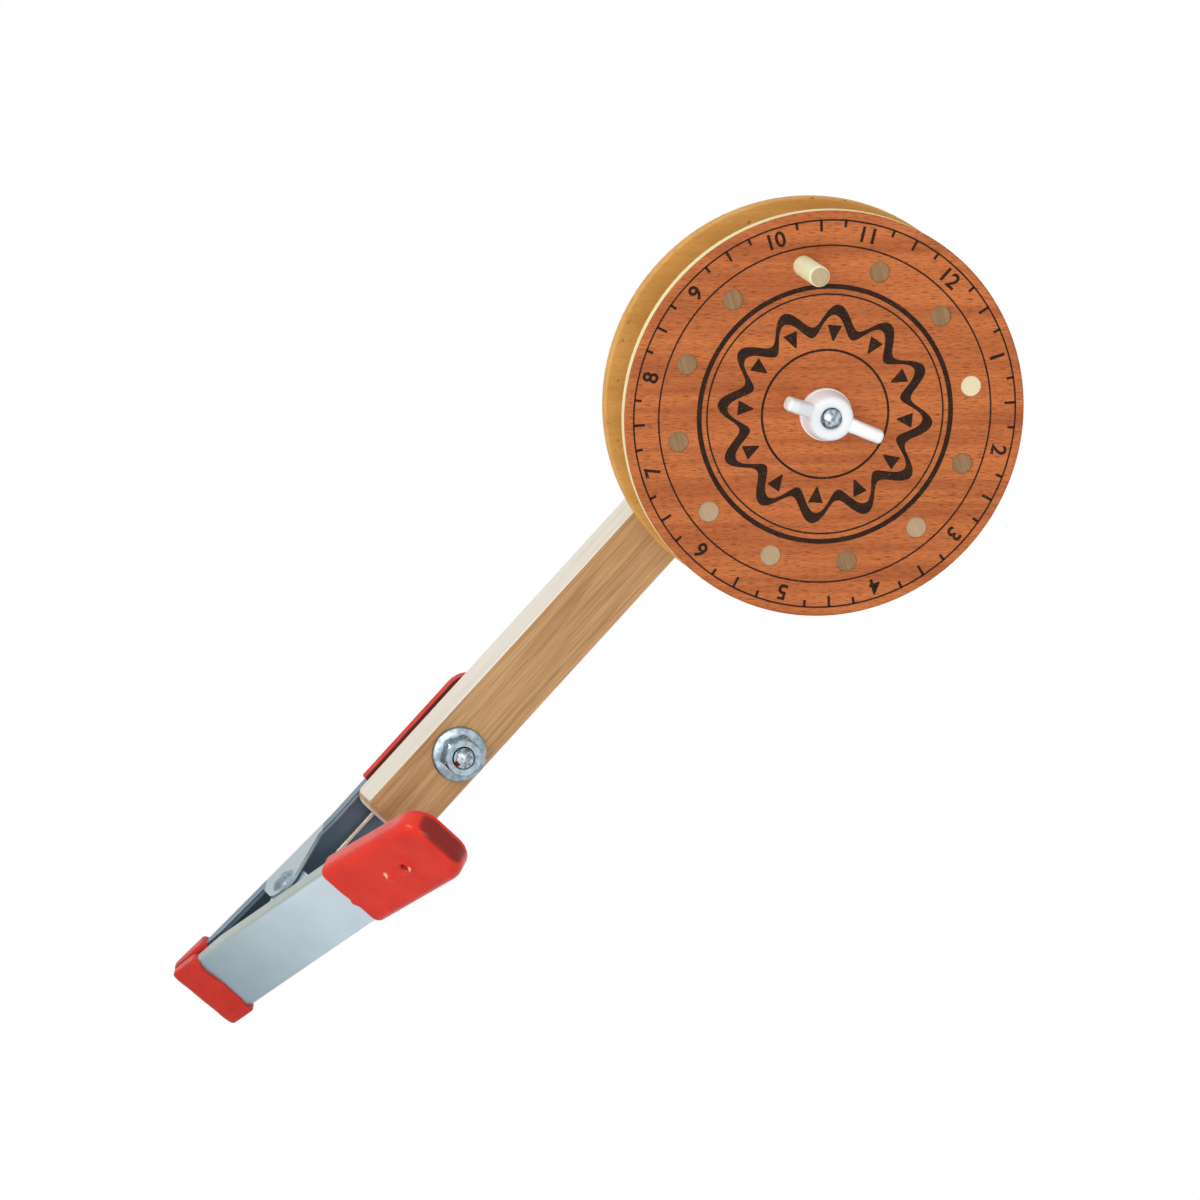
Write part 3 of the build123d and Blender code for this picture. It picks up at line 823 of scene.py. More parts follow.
            self.polish(graph, shader, GOLDEN_PLY, golden.outputs["Height"])
        graph.join(colour, shader.inputs["Base Color"])
        return material

    def dowel(self, name: str, sides: WoodFinish, front_y: float, paleness: float) -> Material:
        """Dowel wood: pale sides with grain along Y, and darker end grain at the front end.

        Args:
            name: Name of the material.
            sides: Wood of its sides.
            front_y: Y of the front ends.
            paleness: How far the end grain goes towards the pale tone, from 0 to 1.

        Returns:
            The material.
        """
        if name in self.shelf:
            return self.shelf[name]
        material, graph, shader, place = self.start(name)
        side = self.grain(graph, sides, graph.turn(place, (0, 0, radians(-90))))
        end = self.grain(graph, DOWEL_END, graph.turn(place, (radians(-90), 0, radians(30))))
        end_colour = graph.mix(paleness, end.outputs["Color"], PALE_END)
        end_skin, end_clear = 0.0002, 0.0005
        off_end = graph.ramp(graph.parts(place)[1], front_y + end_skin, front_y + end_clear)
        colour = graph.mix(off_end, end_colour, side.outputs["Color"])
        graph.join(colour, shader.inputs["Base Color"])
        self.polish(graph, shader, sides, end.outputs["Height"])
        self.shelf[name] = material
        return material

    def ink(self) -> Material:
        """Dark printing ink that the pores of the wood break here and there, made once.

        Returns:
            The material.
        """
        if "dial_ink" not in self.shelf:
            _, graph, shader, _, group = self.clouded("dial_ink", INK)
            graph.join(group.outputs["Color"], shader.inputs["Base Color"])
            broken, whole = 0.74, 0.62
            graph.join(graph.ramp(group.outputs["Height"], broken, whole), shader.inputs["Alpha"])
        return self.shelf["dial_ink"]


def paint(piece: Piece, material: Material) -> None:
    """Give a piece one material in place of what it has."""
    piece.data.materials.clear()
    piece.data.materials.append(material)


def dress(node: str, material: Material) -> None:
    """Give a CAD node one material."""
    paint(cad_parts[node], material)
    log.info("%s dressed", node)


def settle(piece: Piece, body: Body, material: Material, slot: str, *nodes: str) -> None:
    """Finish a new piece: its material, the body it rides on and the CAD nodes it stands for.

    Args:
        piece: The new piece.
        body: Body that it moves with.
        material: Its material.
        slot: Record slot of its finish; not used.
        *nodes: CAD nodes that it replaces.
    """
    paint(piece, material)
    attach(piece, body.value)
    if nodes:
        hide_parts(*nodes)
    log.info("%s rides on %s", piece.name, body.value)


@dataclass
class Spool:
    """Two plywood discs, the ring of dowels and the crank peg."""

    finishes: Finishes
    dowel_count: int = 12
    fair_dowels: tuple[int, ...] = (4, 5, 7)
    pale_dowel: int = 9
    plain_end: float = 0.02
    fair_end: float = 0.3
    pale_end: float = 0.92
    peg_end: float = 0.4
    ball_turn: Direction = (0.3, 0.8, 0.0)

    def dowel(self, number: int) -> Material:
        """Wood of one dowel.

        Args:
            number: Number of the dowel, counted from the peg.

        Returns:
            The material.
        """
        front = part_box(f"spool_dowel_{number:02d}")[0].y
        if number == self.pale_dowel:
            return self.finishes.dowel("pale_dowel_wood", DOWEL_SIDE, front, self.pale_end)
        if number in self.fair_dowels:
            return self.finishes.dowel("fair_dowel_wood", DOWEL_SIDE, front, self.fair_end)
        return self.finishes.dowel("dowel_wood", DOWEL_SIDE, front, self.plain_end)

    def dress(self) -> None:
        """Dress the CAD nodes of the spool."""
        low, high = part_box("front_flange")
        axle = (low + high) / 2
        radius = (high.x - low.x) / 2
        rear_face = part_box("rear_flange")[0].y
        dress("front_flange", self.finishes.flange("stained_disc", axle, radius, low.y, stained=True))
        dress("rear_flange", self.finishes.flange("plain_disc", axle, radius, rear_face, stained=False))
        for number in range(1, self.dowel_count):
            dress(f"spool_dowel_{number:02d}", self.dowel(number))
        peg_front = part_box("crank_peg")[0].y
        dress("crank_peg", self.finishes.dowel("peg_wood", PEG_SIDE, peg_front, self.peg_end))
        dress("rattle_ball", self.finishes.plain_wood("ball_wood", DOWEL_SIDE, self.ball_turn))
        log.info("spool dressed")


@dataclass
class Dial:
    """Printed dial on the spool's face: a scale of twelve for one turn, and a ring of waves inside it."""

    finishes: Finishes
    lift: float = 0.00006
    outer_radius: float = 0.0592
    rings: tuple[tuple[str, float, float], ...] = (
        ("outer_line", 0.0592, 0.0005), ("inner_line", 0.0515, 0.0005), ("broad_ring", 0.039, 0.0015),
        ("fine_ring", 0.0366, 0.0005), ("centre_ring", 0.0196, 0.0007),
    )
    ring_steps: int = 240
    scale_count: int = 12
    number_radius: float = 0.05535
    number_size: float = 0.0066
    number_weight: float = 0.00014
    tick_count: int = 48
    tick_width: float = 0.0008
    long_tick: float = 0.0034
    short_tick: float = 0.0021
    wave_count: int = 12
    wave_radius: float = 0.0286
    wave_height: float = 0.0033
    wave_weight: float = 0.0016
    wave_swell: float = 0.0006
    wave_steps: int = 840
    wedge_radius: float = 0.0272
    wedge_length: float = 0.0048
    wedge_widths: tuple[float, float] = (0.0004, 0.0046)
    axle: Vector = field(init=False)
    face_y: float = field(init=False)

    def __post_init__(self) -> None:
        """Take the face's place from its CAD node."""
        low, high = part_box("front_flange")
        self.axle = (low + high) / 2
        self.face_y = low.y - self.lift

    def flat(self, across: np.ndarray, up: np.ndarray) -> np.ndarray:
        """Points on the face from offsets across and up from the axle."""
        depth = np.full(across.shape, self.face_y)
        return np.stack((self.axle.x + across, depth, self.axle.z + up), axis=-1)

    def print_piece(self, piece: Piece) -> None:
        """Ink a piece of the print and let it ride on the spool."""
        settle(piece, Body.SPOOL, self.finishes.ink(), "stained_plywood")

    def print_band(self, name: str, inner: np.ndarray, outer: np.ndarray, angle: np.ndarray) -> None:
        """Closed band between two radii that may change with the angle.

        Args:
            name: Name of the piece.
            inner: Inner radius at each angle.
            outer: Outer radius at each angle.
            angle: Angles round the face.
        """
        radius = np.stack((outer, inner))
        points = self.flat(radius * np.cos(angle), radius * np.sin(angle))
        piece = grid_piece(name, points, close_columns=True, closed=False)
        self.print_piece(piece)

    def ring(self, name: str, radius: float, width: float) -> None:
        """Plain ring of a given width.

        Args:
            name: Name of the piece.
            radius: Radius of the ring's middle.
            width: Width of the ring.
        """
        middle = np.full(self.ring_steps, radius)
        self.print_band(name, middle - width / 2, middle + width / 2, full_turn(self.ring_steps))

    def marks(self, name: str, angle: np.ndarray, outer: float, length: np.ndarray, width: np.ndarray,
              ) -> None:
        """Four-cornered marks round the face: a corner lies along its mark's radius and aside from it.

        Args:
            name: Name of the piece.
            angle: Angle of each mark.
            outer: Radius of the marks' outer ends.
            length: Length of each mark, inwards.
            width: Width of each mark at its inner and outer end, marks by two.
        """
        near, far = outer - length, np.full(angle.shape, outer)
        along = np.stack((near, near, far, far), axis=-1)
        aside = np.stack((-width[:, 0], width[:, 0], width[:, 1], -width[:, 1]), axis=-1) / 2
        across = along * np.cos(angle)[:, None] - aside * np.sin(angle)[:, None]
        up = along * np.sin(angle)[:, None] + aside * np.cos(angle)[:, None]
        faces = np.arange(angle.size * 4).reshape(-1, 4)
        piece = mesh_piece(name, self.flat(across, up), faces, closed=False)
        self.print_piece(piece)

    def number(self, value: int) -> None:
        """One plain number of the scale, upright towards the rim.

        Args:
            value: Number to print.
        """
        curve = bpy.data.curves.new("number_outline", "FONT")
        curve.body = str(value)
        curve.size = self.number_size
        curve.align_x = "CENTER"
        curve.align_y = "CENTER"
        curve.offset = self.number_weight
        source = bpy.data.objects.new("number_outline", curve)
        mesh = bpy.data.meshes.new_from_object(source)
        bpy.data.objects.remove(source)
        angle = pi / 2 - 2 * pi * value / self.scale_count
        across = self.number_radius * cos(angle)
        up = self.number_radius * sin(angle)
        place = Matrix.Translation((self.axle.x + across, self.face_y, self.axle.z + up))
        mesh.transform(place @ Matrix.Rotation(pi / 2 - angle, 4, "Y") @ Matrix.Rotation(pi / 2, 4, "X"))
        piece = bpy.data.objects.new(f"dial_number_{value:02d}", mesh)
        bpy.context.scene.collection.objects.link(piece)
        self.print_piece(piece)

    def build(self) -> None:
        """Print the scale, its numbers and the ring of waves."""
        for name, radius, width in self.rings:
            self.ring(f"dial_{name}", radius, width)
        number = np.arange(self.tick_count)
        angle = full_turn(self.tick_count)
        per_number = self.tick_count // self.scale_count
        plain = number % per_number != 0
        halfway = number % per_number == per_number // 2
        length = np.where(halfway, self.long_tick, self.short_tick)
        width = np.full((self.tick_count, 2), self.tick_width)
        self.marks("dial_ticks", angle[plain], self.outer_radius, length[plain], width[plain])
        for value in range(1, self.scale_count + 1):
            self.number(value)
        turn = full_turn(self.wave_steps)
        crest = self.wave_radius + self.wave_height * np.sin(self.wave_count * turn)
        weight = self.wave_weight + self.wave_swell * np.cos(self.wave_count * turn)
        self.print_band("dial_wave", crest - weight, crest + weight, turn)
        quarter_wave = 0.25
        under_crest = 2 * pi * (np.arange(self.wave_count) + quarter_wave) / self.wave_count
        lengths = np.full(self.wave_count, self.wedge_length)
        pointed = np.tile(self.wedge_widths, (self.wave_count, 1))
        self.marks("dial_wedges", under_crest, self.wedge_radius, lengths, pointed)
        log.info("dial printed")


@dataclass
class DragNut:
    """White nylon wing nut and washer that set the drag."""

    finishes: Finishes
    wing_angle: float = radians(22.0)
    wing_root: float = 0.0046
    wing_tip: float = 0.01575
    wing_squareness: float = 3.2
    round_from: float = 0.88
    end_height: float = 0.42
    hub_steps: int = 96
    wing_steps: int = 48
    section_steps: int = 40

    def build(self) -> None:
        """Build the hub by turning a profile, and each wing as a section carried outwards."""
        nylon = self.finishes.smooth("white_nylon", WHITE_NYLON)
        low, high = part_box("wing_nut")
        axle = np.array((low + high) / 2)
        base = high.y
        hub = MM * np.array((
            (3.25, 0.0), (7.2, 0.0), (7.55, 0.12), (7.7, 0.5), (7.7, 1.2), (7.45, 2.8), (7.15, 4.6),
            (6.85, 6.2), (6.55, 7.0), (6.1, 7.45), (5.5, 7.6), (4.5, 7.6), (3.9, 7.45), (3.45, 7.0),
            (3.25, 6.2),
        ))
        points = turned_points(hub[:, 0], base - hub[:, 1], axle, full_turn(self.hub_steps))
        hub_piece = grid_piece("wing_nut_hub", points, close_rows=True, close_columns=True, crease=60)
        settle(hub_piece, Body.NUT, nylon, "white_nylon", "wing_nut")
        for side, angle in (("right", self.wing_angle), ("left", self.wing_angle + pi)):
            points = self.wing(axle, base, angle)
            wing = grid_piece(f"wing_nut_{side}_wing", points, close_columns=True, crease=60)
            settle(wing, Body.NUT, nylon, "white_nylon")
        dress("drag_washer", nylon)

    def wing(self, axle: np.ndarray, base: float, angle: float) -> np.ndarray:
        """Wing as rounded sections carried out from the hub, rising and closing in a round end.

        Args:
            axle: A point on the axle.
            base: Y of the nut's seat.
            angle: Direction of the wing round the axle.

        Returns:
            Grid of points.
        """
        share = np.linspace(0, 1, self.wing_steps)
        reach = self.wing_root + (self.wing_tip - self.wing_root) * share
        bottom = np.interp(share, (0, 0.25, 0.6, 1), (1.2, 1.6, 3.6, 5.6)) * MM
        top = np.interp(share, (0, 0.15, 0.45, 0.7, 1), (6.4, 7.4, 10.6, 12.7, 13.2)) * MM
        end = np.clip((share - self.round_from) / (1 - self.round_from), 0, 1)
        close = np.cbrt(np.clip(1 - end**3, 0, 1))
        thick = np.interp(share, (0, 0.4, 1), (2.4, 2.15, 2.1)) * MM
        lower = self.end_height + (1 - self.end_height) * close
        half_up = (top - bottom) / 2 * lower * (close > 0)
        across, up = rounded_section(thick * close, half_up, self.wing_squareness, self.section_steps)
        side = np.array((-sin(angle), 0, cos(angle)))
        outwards = np.array((cos(angle), 0, sin(angle)))
        middle = (top + bottom) / 2
        points = axle + reach[:, None, None] * outwards + across[:, :, None] * side
        points[:, :, 1] = base - middle[:, None] - up
        return points


@dataclass
class Hardware:
    """Zinc plated bolts, nuts and washers, with chamfered corners, rolled edges and threads."""

    finishes: Finishes
    across_flats: float = 0.0111
    head_height: float = 0.0042
    shank: float = 0.003175
    pitch: float = 0.00127
    thread_depth: float = 0.0006
    crest_flat: float = 1.25
    rows_per_pitch: int = 10
    cut_length: float = 0.0009
    cut_taper: float = 0.0008
    cut_crown: float = 0.00012
    bore_gap: float = 0.00004
    countersink: float = 0.0036
    washer_roll: float = 0.0005
    roll_steps: int = 9
    steps: int = 144
    washer_steps: int = 96
    thread_steps: int = 60

    def hexagon(self, angle: np.ndarray) -> np.ndarray:
        """Radius of a hexagon with a flat on top: half its width over the cosine from the nearest flat."""
        from_flat = (angle - pi / 2 + pi / 6) % (pi / 3) - pi / 6
        return self.across_flats / 2 / np.cos(from_flat)

    def hex_points(self, heights: np.ndarray, cone: np.ndarray, bore: float, middle: np.ndarray, back: float,
                   ) -> np.ndarray:
        """Hexagon cut by a cone: at each height the smaller of the hexagon's radius and the cone's.

        Args:
            heights: Height of each ring over the back face.
            cone: Radius of the cone at each height.
            bore: Radius of the first and the last ring, at the hole or at the middle of a plain end.
            middle: A point on the axis.
            back: Y of the back face.

        Returns:
            Grid of points, heights by steps by three.
        """
        angle = full_turn(self.steps)
        radius = np.minimum(self.hexagon(angle)[None, :], cone[:, None])
        radius[0] = bore
        radius[-1] = bore
        return turned_points(radius, back - heights, middle, angle)

    def nut(self, node: str) -> None:
        """Nut with both ends chamfered and a countersunk bore, in place of its CAD node.

        Args:
            node: CAD node of the nut.
        """
        low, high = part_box(node)
        middle = np.array((low + high) / 2)
        height = high.y - low.y
        crown = self.across_flats / 2
        heights = np.array((
            0.0004, 0.0, 0.0, 0.00025, 0.0007, height / 2, height - 0.0009, height - 0.0004, height, height,
            height - 0.0004,
        ))
        cone = crown * np.array((0.0, 0.0, 0.98, 1.06, 1.2, 1.2, 1.2, 1.06, 0.96, 0.0, 0.0))
        cone[[1, -2]] = self.countersink
        points = self.hex_points(heights, cone, self.shank + self.bore_gap, middle, high.y)
        piece = grid_piece(f"{node}_turned", points, close_rows=True, close_columns=True, crease=28)
        settle(piece, Body.STAND, self.finishes.smooth("bright_zinc", ZINC), "zinc_plated_steel", node)

    def washer(self, node: str) -> None:
        """Stamped washer with a rolled outer edge, in place of its CAD node.

        Args:
            node: CAD node of the washer.
        """
        low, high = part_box(node)
        middle = np.array((low + high) / 2)
        outer = (high.x - low.x) / 2
        thick = high.y - low.y
        edge = np.linspace(-pi / 2, pi / 2, self.roll_steps)
        roll = self.washer_roll
        rim_radius = outer - roll + roll * np.cos(edge)
        rim_depth = np.where(edge < 0, roll - thick / 2, thick / 2 - roll) + roll * np.sin(edge)
        bore = self.shank + np.array((0.0001, 0.0004))
        bore_depth = np.array((0.0003, 0.0)) - thick / 2
        radius = np.concatenate((bore, rim_radius, bore[::-1]))
        depth = np.concatenate((bore_depth, rim_depth, -bore_depth[::-1]))
        points = turned_points(radius, middle[1] + depth, middle, full_turn(self.washer_steps))
        piece = grid_piece(f"{node}_rolled", points, close_rows=True, close_columns=True, crease=35)
        settle(piece, Body.STAND, self.finishes.smooth("bright_zinc", ZINC), "zinc_plated_steel", node)

    def bolt(self, node: str) -> None:
        """Bolt in place of its CAD node: a chamfered head, and a threaded shank with a roughly cut end.

        Args:
            node: CAD node of the bolt.
        """
        low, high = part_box(node)
        middle = np.array((low + high) / 2)
        zinc = self.finishes.smooth("bright_zinc", ZINC)
        crown = self.across_flats / 2
        seat = self.head_height
        heights = np.array((0.0, 0.0, 0.0003, 0.0008, seat - 0.0003, seat, seat))
        cone = crown * np.array((0.0, 0.96, 1.05, 1.2, 1.2, 1.14, 0.0))
        points = self.hex_points(heights, cone, POINT_RADIUS, middle, high.y)
        head = grid_piece(f"{node}_head", points, close_columns=True, crease=28)
        settle(head, Body.STAND, zinc, "zinc_plated_steel", node)
        length = high.y - seat - low.y
        rows = int(length / (self.pitch / self.rows_per_pitch))
        along = np.linspace(0, length, rows)
        angle = full_turn(self.thread_steps)
        phase = (along[:, None] / self.pitch - angle[None, :] / (2 * pi)) % 1.0
        ridge = 1 - np.abs(2 * phase - 1)
        end = np.clip((length - along) / self.cut_length, 0, 1)[:, None]
        groove = self.thread_depth * (1 - np.clip(ridge * self.crest_flat, 0, 1))
        radius = self.shank - groove - self.cut_taper * (1 - end)
        radius = np.pad(radius, ((1, 1), (0, 0)))
        depth = high.y - seat - np.concatenate(([0.0], along, [length + self.cut_crown]))
        points = turned_points(radius, depth, middle, angle)
        shank = grid_piece(f"{node}_thread", points, close_columns=True, crease=50)
        # The thread's dark and bright clouds are painted shade and glints.
        settle(shank, Body.STAND, self.finishes.smooth("thread_painted_shade_and_glints", THREAD_PAINTED_SHADE_AND_GLINTS), "zinc_plated_steel")

    def build(self) -> None:
        """Build every fastener and dress the rivet and the spacer."""
        for node in ("arm_bolt_nut", "axle_lock_nut"):
            self.nut(node)
        for node in ("arm_bolt_front_washer", "arm_bolt_back_washer", "axle_washer"):
            self.washer(node)
        for node in ("arm_bolt", "axle_bolt"):
            self.bolt(node)
        dress("pivot_rivet", self.finishes.smooth("bright_zinc", ZINC))
        dress("axle_spacer", self.finishes.smooth("white_nylon", WHITE_NYLON))
        log.info("hardware built")


@dataclass
class ClampFrame:
    """Places on the clamp, measured along and out from the plane midway between its two levers."""

    slope: float = radians(23.7)
    jaw_slope: float = radians(15.0)
    web: float = 0.01524
    bend: float = 0.018
    jaw_reach: float = 0.0458
    pivot: np.ndarray = field(init=False)

    def __post_init__(self) -> None:
        """Take the pivot from the rivet."""
        low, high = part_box("pivot_rivet")
        self.pivot = np.array((low + high) / 2)

    def ways(self, side: Side) -> tuple[np.ndarray, np.ndarray]:
        """Unit directions on one lever's side of the clamp.

        Args:
            side: The lever.

        Returns:
            The directions along the middle plane, towards the handles, and out from it.
        """
        along = np.array((0.0, -sin(self.slope), cos(self.slope)))
        out = side.value * np.array((0.0, cos(self.slope), sin(self.slope)))
        return along, out

    def handle_levels(self, side: Side, distance: float, inset: float) -> tuple[Level, Level]:
        """Levels through a point on a handle, along the handle and into it.

        Args:
            side: The handle's lever.
            distance: Distance of the point past the bend.
            inset: Its depth under the web's outer face.

        Returns:
            For each level its direction, and the point's distance from the origin along it.
        """
        along_way, out_way = self.ways(side)
        along, out = self.handle(np.array(distance), np.array(inset))
        point = self.pivot + along * along_way + out * out_way
        lengthways = along_way * cos(self.slope) + out_way * sin(self.slope)
        inwards = along_way * sin(self.slope) - out_way * cos(self.slope)
        return (lengthways, float(lengthways @ point)), (inwards, float(inwards @ point))

    def world(self, side: Side, along: np.ndarray, out: np.ndarray, across: np.ndarray) -> np.ndarray:
        """Points in the row frame from distances along the middle plane, out from it and across the clamp.

        Args:
            side: Lever that the points belong to.
            along: Distance from the pivot along the middle plane, towards the handles.
            out: Distance out from the middle plane.
            across: Distance across, towards X.

        Returns:
            Points, with the coordinates last.
        """
        along, out, across = np.broadcast_arrays(along, out, across)
        along_way, out_way = self.ways(side)
        lifted = along[..., None] * along_way + out[..., None] * out_way
        return self.pivot + lifted + across[..., None] * np.array((1.0, 0.0, 0.0))

    def handle(self, distance: np.ndarray, inset: np.ndarray) -> tuple[np.ndarray, np.ndarray]:
        """Place of a point on a handle.

        Args:
            distance: Distance past the bend.
            inset: Depth under the web's outer face.

        Returns:
            Distance along the middle plane and out from it.
        """
        along = self.bend + distance * cos(self.slope) + inset * sin(self.slope)
        bend_out = self.web + self.bend * tan(self.jaw_slope)
        return along, bend_out + distance * sin(self.slope) - inset * cos(self.slope)


@dataclass
class VinylGrip:
    """Dipped vinyl on one handle: a skin over the web, its rims and its closed end, with a tray inside."""

    clamp: ClampFrame
    finishes: Finishes
    side: Side
    start: float
    length: float
    slant: float
    dimples: bool
    half_width: float = 0.0125
    corner: float = 0.0083
    skin: float = 0.0012
    sheet: float = 0.0013
    rim: float = 0.0064
    web_round: float = 0.0034
    lip: float = 0.0009
    lip_steps: int = 6
    fade: float = 0.006
    wave_height: float = 0.00025
    wave_rate: float = 520.0
    drip_length: float = 0.0012
    drip_place: float = 0.0018
    drip_width: float = 0.0013
    swell_height: float = 0.0001
    swell_rates: tuple[float, float] = (330.0, 260.0)
    swell_phase: float = 1.0
    web_steps: int = 26
    round_steps: int = 7
    outer_steps: int = 5
    inner_steps: int = 4
    side_steps: int = 130
    end_steps: int = 12

    def profile(self) -> tuple[np.ndarray, np.ndarray, np.ndarray, np.ndarray, np.ndarray]:
        """Section of the skin from the middle of the web, round the rim, to the middle of the tray's floor.

        Returns:
            Share of the way out from the middle, inset and depth of each point, and the inset and depth of
            the steel's middle under it.
        """
        turn = np.linspace(0, pi / 2, self.round_steps)
        wall = self.skin + self.sheet + self.skin
        floor = self.sheet + self.skin
        top = self.rim + self.skin
        columns: tuple[list[np.ndarray], ...] = ([], [], [], [], [])

        def put(*stretch: float | np.ndarray) -> None:
            """Add one stretch of the section: share, inset, depth, and the steel's inset and depth."""
            for kept, values in zip(columns, np.broadcast_arrays(*stretch)):
                kept.append(np.array(values))

        core = self.skin + self.sheet / 2
        middle = np.linspace(0, 1, self.web_steps)
        put(middle, self.corner, -self.skin, self.corner, self.sheet / 2)
        reach = np.linspace(self.corner, self.web_round, self.outer_steps)[1:]
        put(1.0, reach, -self.skin, reach, self.sheet / 2)
        edge_inset = self.web_round * (1 - np.sin(turn[1:]))
        edge_depth = self.web_round - self.skin - self.web_round * np.cos(turn[1:])
        put(1.0, edge_inset, edge_depth, np.maximum(edge_inset, core), np.maximum(edge_depth, self.sheet / 2))
        outside = np.linspace(self.web_round - self.skin, self.rim, self.outer_steps)[1:]
        put(1.0, 0.0, outside, core, outside)
        put(1.0, self.skin * (1 - np.cos(turn[1:])), self.rim + self.skin * np.sin(turn[1:]), core, self.rim)
        put(1.0, wall - self.skin * (1 - np.sin(turn)), top - self.skin * (1 - np.cos(turn)), core, self.rim)
        within = np.linspace(self.rim, floor + self.skin, self.inner_steps)[1:]
        put(1.0, wall, within, core, within)
        bend = turn[1:]
        blend = np.linspace(0, 1, self.round_steps)[1:]
        bend_core_inset = core + blend * (wall + self.skin - core)
        bend_core_depth = (floor + self.skin) * (1 - blend) + self.sheet / 2 * blend
        put(1.0, wall + self.skin * (1 - np.cos(bend)), floor + self.skin * (1 - np.sin(bend)),
            bend_core_inset, bend_core_depth)
        reach = np.linspace(wall + self.skin, self.corner, self.inner_steps)[1:]
        put(1.0, reach, floor, reach, self.sheet / 2)
        put(middle[::-1][1:], self.corner, floor, self.corner, self.sheet / 2)
        return tuple(np.concatenate(kept) for kept in columns)

    def outline(self) -> tuple[np.ndarray, np.ndarray, np.ndarray]:
        """Plan of the grip's edge: up one side, round the end and down the other side.

        Returns:
            Edge points, outward directions and the points on the middle line that each faces, all as
            across and distance.
        """
        end = self.length + self.skin
        side = np.linspace(self.start, end - self.corner, self.side_steps)
        turn = np.linspace(0, pi / 2, self.end_steps)[1:]
        flat_half = self.half_width - self.corner
        flat = np.linspace(-flat_half, flat_half, self.end_steps)[1:]
        left = np.stack((np.full(side.shape, -self.half_width), side), axis=-1)
        left_way = np.tile((-1.0, 0.0), (side.size, 1))
        corner_way = np.stack((-np.cos(turn), np.sin(turn)), axis=-1)
        corner = np.array((-flat_half, end - self.corner)) + self.corner * corner_way
        over = np.stack((flat, np.full(flat.shape, end)), axis=-1)
        over_way = np.tile((0.0, 1.0), (flat.size, 1))
        back_way = np.stack((np.sin(turn), np.cos(turn)), axis=-1)
        back = np.array((flat_half, end - self.corner)) + self.corner * back_way
        right = left[::-1][1:] * (-1, 1)
        right_way = left_way[::-1][1:] * (-1, 1)
        edge = np.concatenate((left, corner, over, back, right))
        way = np.concatenate((left_way, corner_way, over_way, back_way, right_way))
        middle = np.stack((np.zeros(len(edge)), np.minimum(edge[:, 1], end - self.half_width)), axis=-1)
        return edge, way, middle

    def build(self) -> None:
        """Carry the section round the plan, close its start on the steel, and add waves and drips."""
        share, inset, depth, core_inset, core_depth = self.profile()
        edge, way, middle = self.outline()

        def plan(insets: np.ndarray) -> np.ndarray:
            """Plan points of every profile point all round the edge."""
            inner = edge[:, None, :] - way[:, None, :] * insets[None, :, None]
            return middle[:, None, :] + share[None, :, None] * (inner - middle[:, None, :])

        skin_plan = plan(inset)
        core_plan = plan(core_inset)
        close = np.linspace(pi / 2, 0, self.lip_steps, endpoint=False)
        keep = np.cos(close)[:, None]
        lip = self.lip * np.sin(close)[:, None]

        def lip_rows(row: int) -> tuple[np.ndarray, np.ndarray]:
            """Rows that draw the skin in to the steel at one end of the edge.

            Args:
                row: Number of the edge's point.

            Returns:
                Plan and depth of the rows' points.
            """
            flat = core_plan[row] + (skin_plan[row] - core_plan[row]) * keep[:, :, None]
            flat[:, :, 1] -= lip
            return flat, core_depth + (depth - core_depth) * keep

        first_plan, first_depth = lip_rows(0)
        last_plan, last_depth = lip_rows(-1)
        body_depth = np.broadcast_to(depth, skin_plan.shape[:2])
        place = np.concatenate((first_plan, skin_plan, last_plan[::-1]))
        deep = np.concatenate((first_depth, body_depth, last_depth[::-1]))
        across, distance = place[:, :, 0], place[:, :, 1]
        past = np.clip((distance - self.start + self.lip) / self.fade, 0, 1)
        drip = self.drip_length * np.exp(-((across - self.drip_place) / self.drip_width) ** 2)
        wave = self.wave_height * np.sin(across * self.wave_rate) - drip + self.slant * across
        distance = distance + wave * (1 - past) ** 2
        web = deep < 0
        across_rate, along_rate = self.swell_rates
        swell = np.sin(across * across_rate + self.swell_phase) * np.sin(distance * along_rate)
        deep = deep - np.where(web, self.swell_height * swell * past, 0.0)
        if self.dimples:
            deep = deep - np.where(web, self.dimple_height(across, distance), 0.0)
        along, out = self.clamp.handle(distance, deep)
        points = self.clamp.world(self.side, along, out, across)
        node = f"{self.side.word}_grip"
        piece = grid_piece(f"{node}_skin", points, crease=50)
        end, rim = self.clamp.handle_levels(self.side, self.length + self.skin, self.rim + self.skin)
        # The rear grip's rim edge gets a painted shadow; the front grip gets painted highlights and shade on
        # its drip marks.
        if self.side is Side.FRONT:
            finish, edge_tone, spots = RED_VINYL, RED_VINYL.shade, self.drip_spots()
        else:
            finish, edge_tone, spots = REAR_VINYL, VINYL_PAINTED_SHADOW, []
        vinyl = self.finishes.vinyl(f"{node}_vinyl", finish, end, rim, edge_tone, spots)
        settle(piece, self.side.body, vinyl, "red_vinyl", node)

    def drip_spots(self) -> list[Spot]:
        """Painted highlight on the crest of the blister, and painted shade on the floor and painted highlight
        on the lip of the pit.

        Returns:
            Middle, radius and colour of each spot.
        """
        distance = np.array((0.0226, 0.0303, 0.0317))
        across = np.array((-0.0013, -0.0002, 0.0006))
        inset = np.array((-0.0021, -0.0006, -0.0018))
        radii = (0.0013, 0.0014, 0.0012)
        tones = (VINYL_PAINTED_HIGHLIGHT, VINYL_PAINTED_SHADE, VINYL_PAINTED_HIGHLIGHT)
        along, out = self.clamp.handle(distance, inset)
        middles = self.clamp.world(self.side, along, out, across)
        return list(zip(middles, radii, tones))

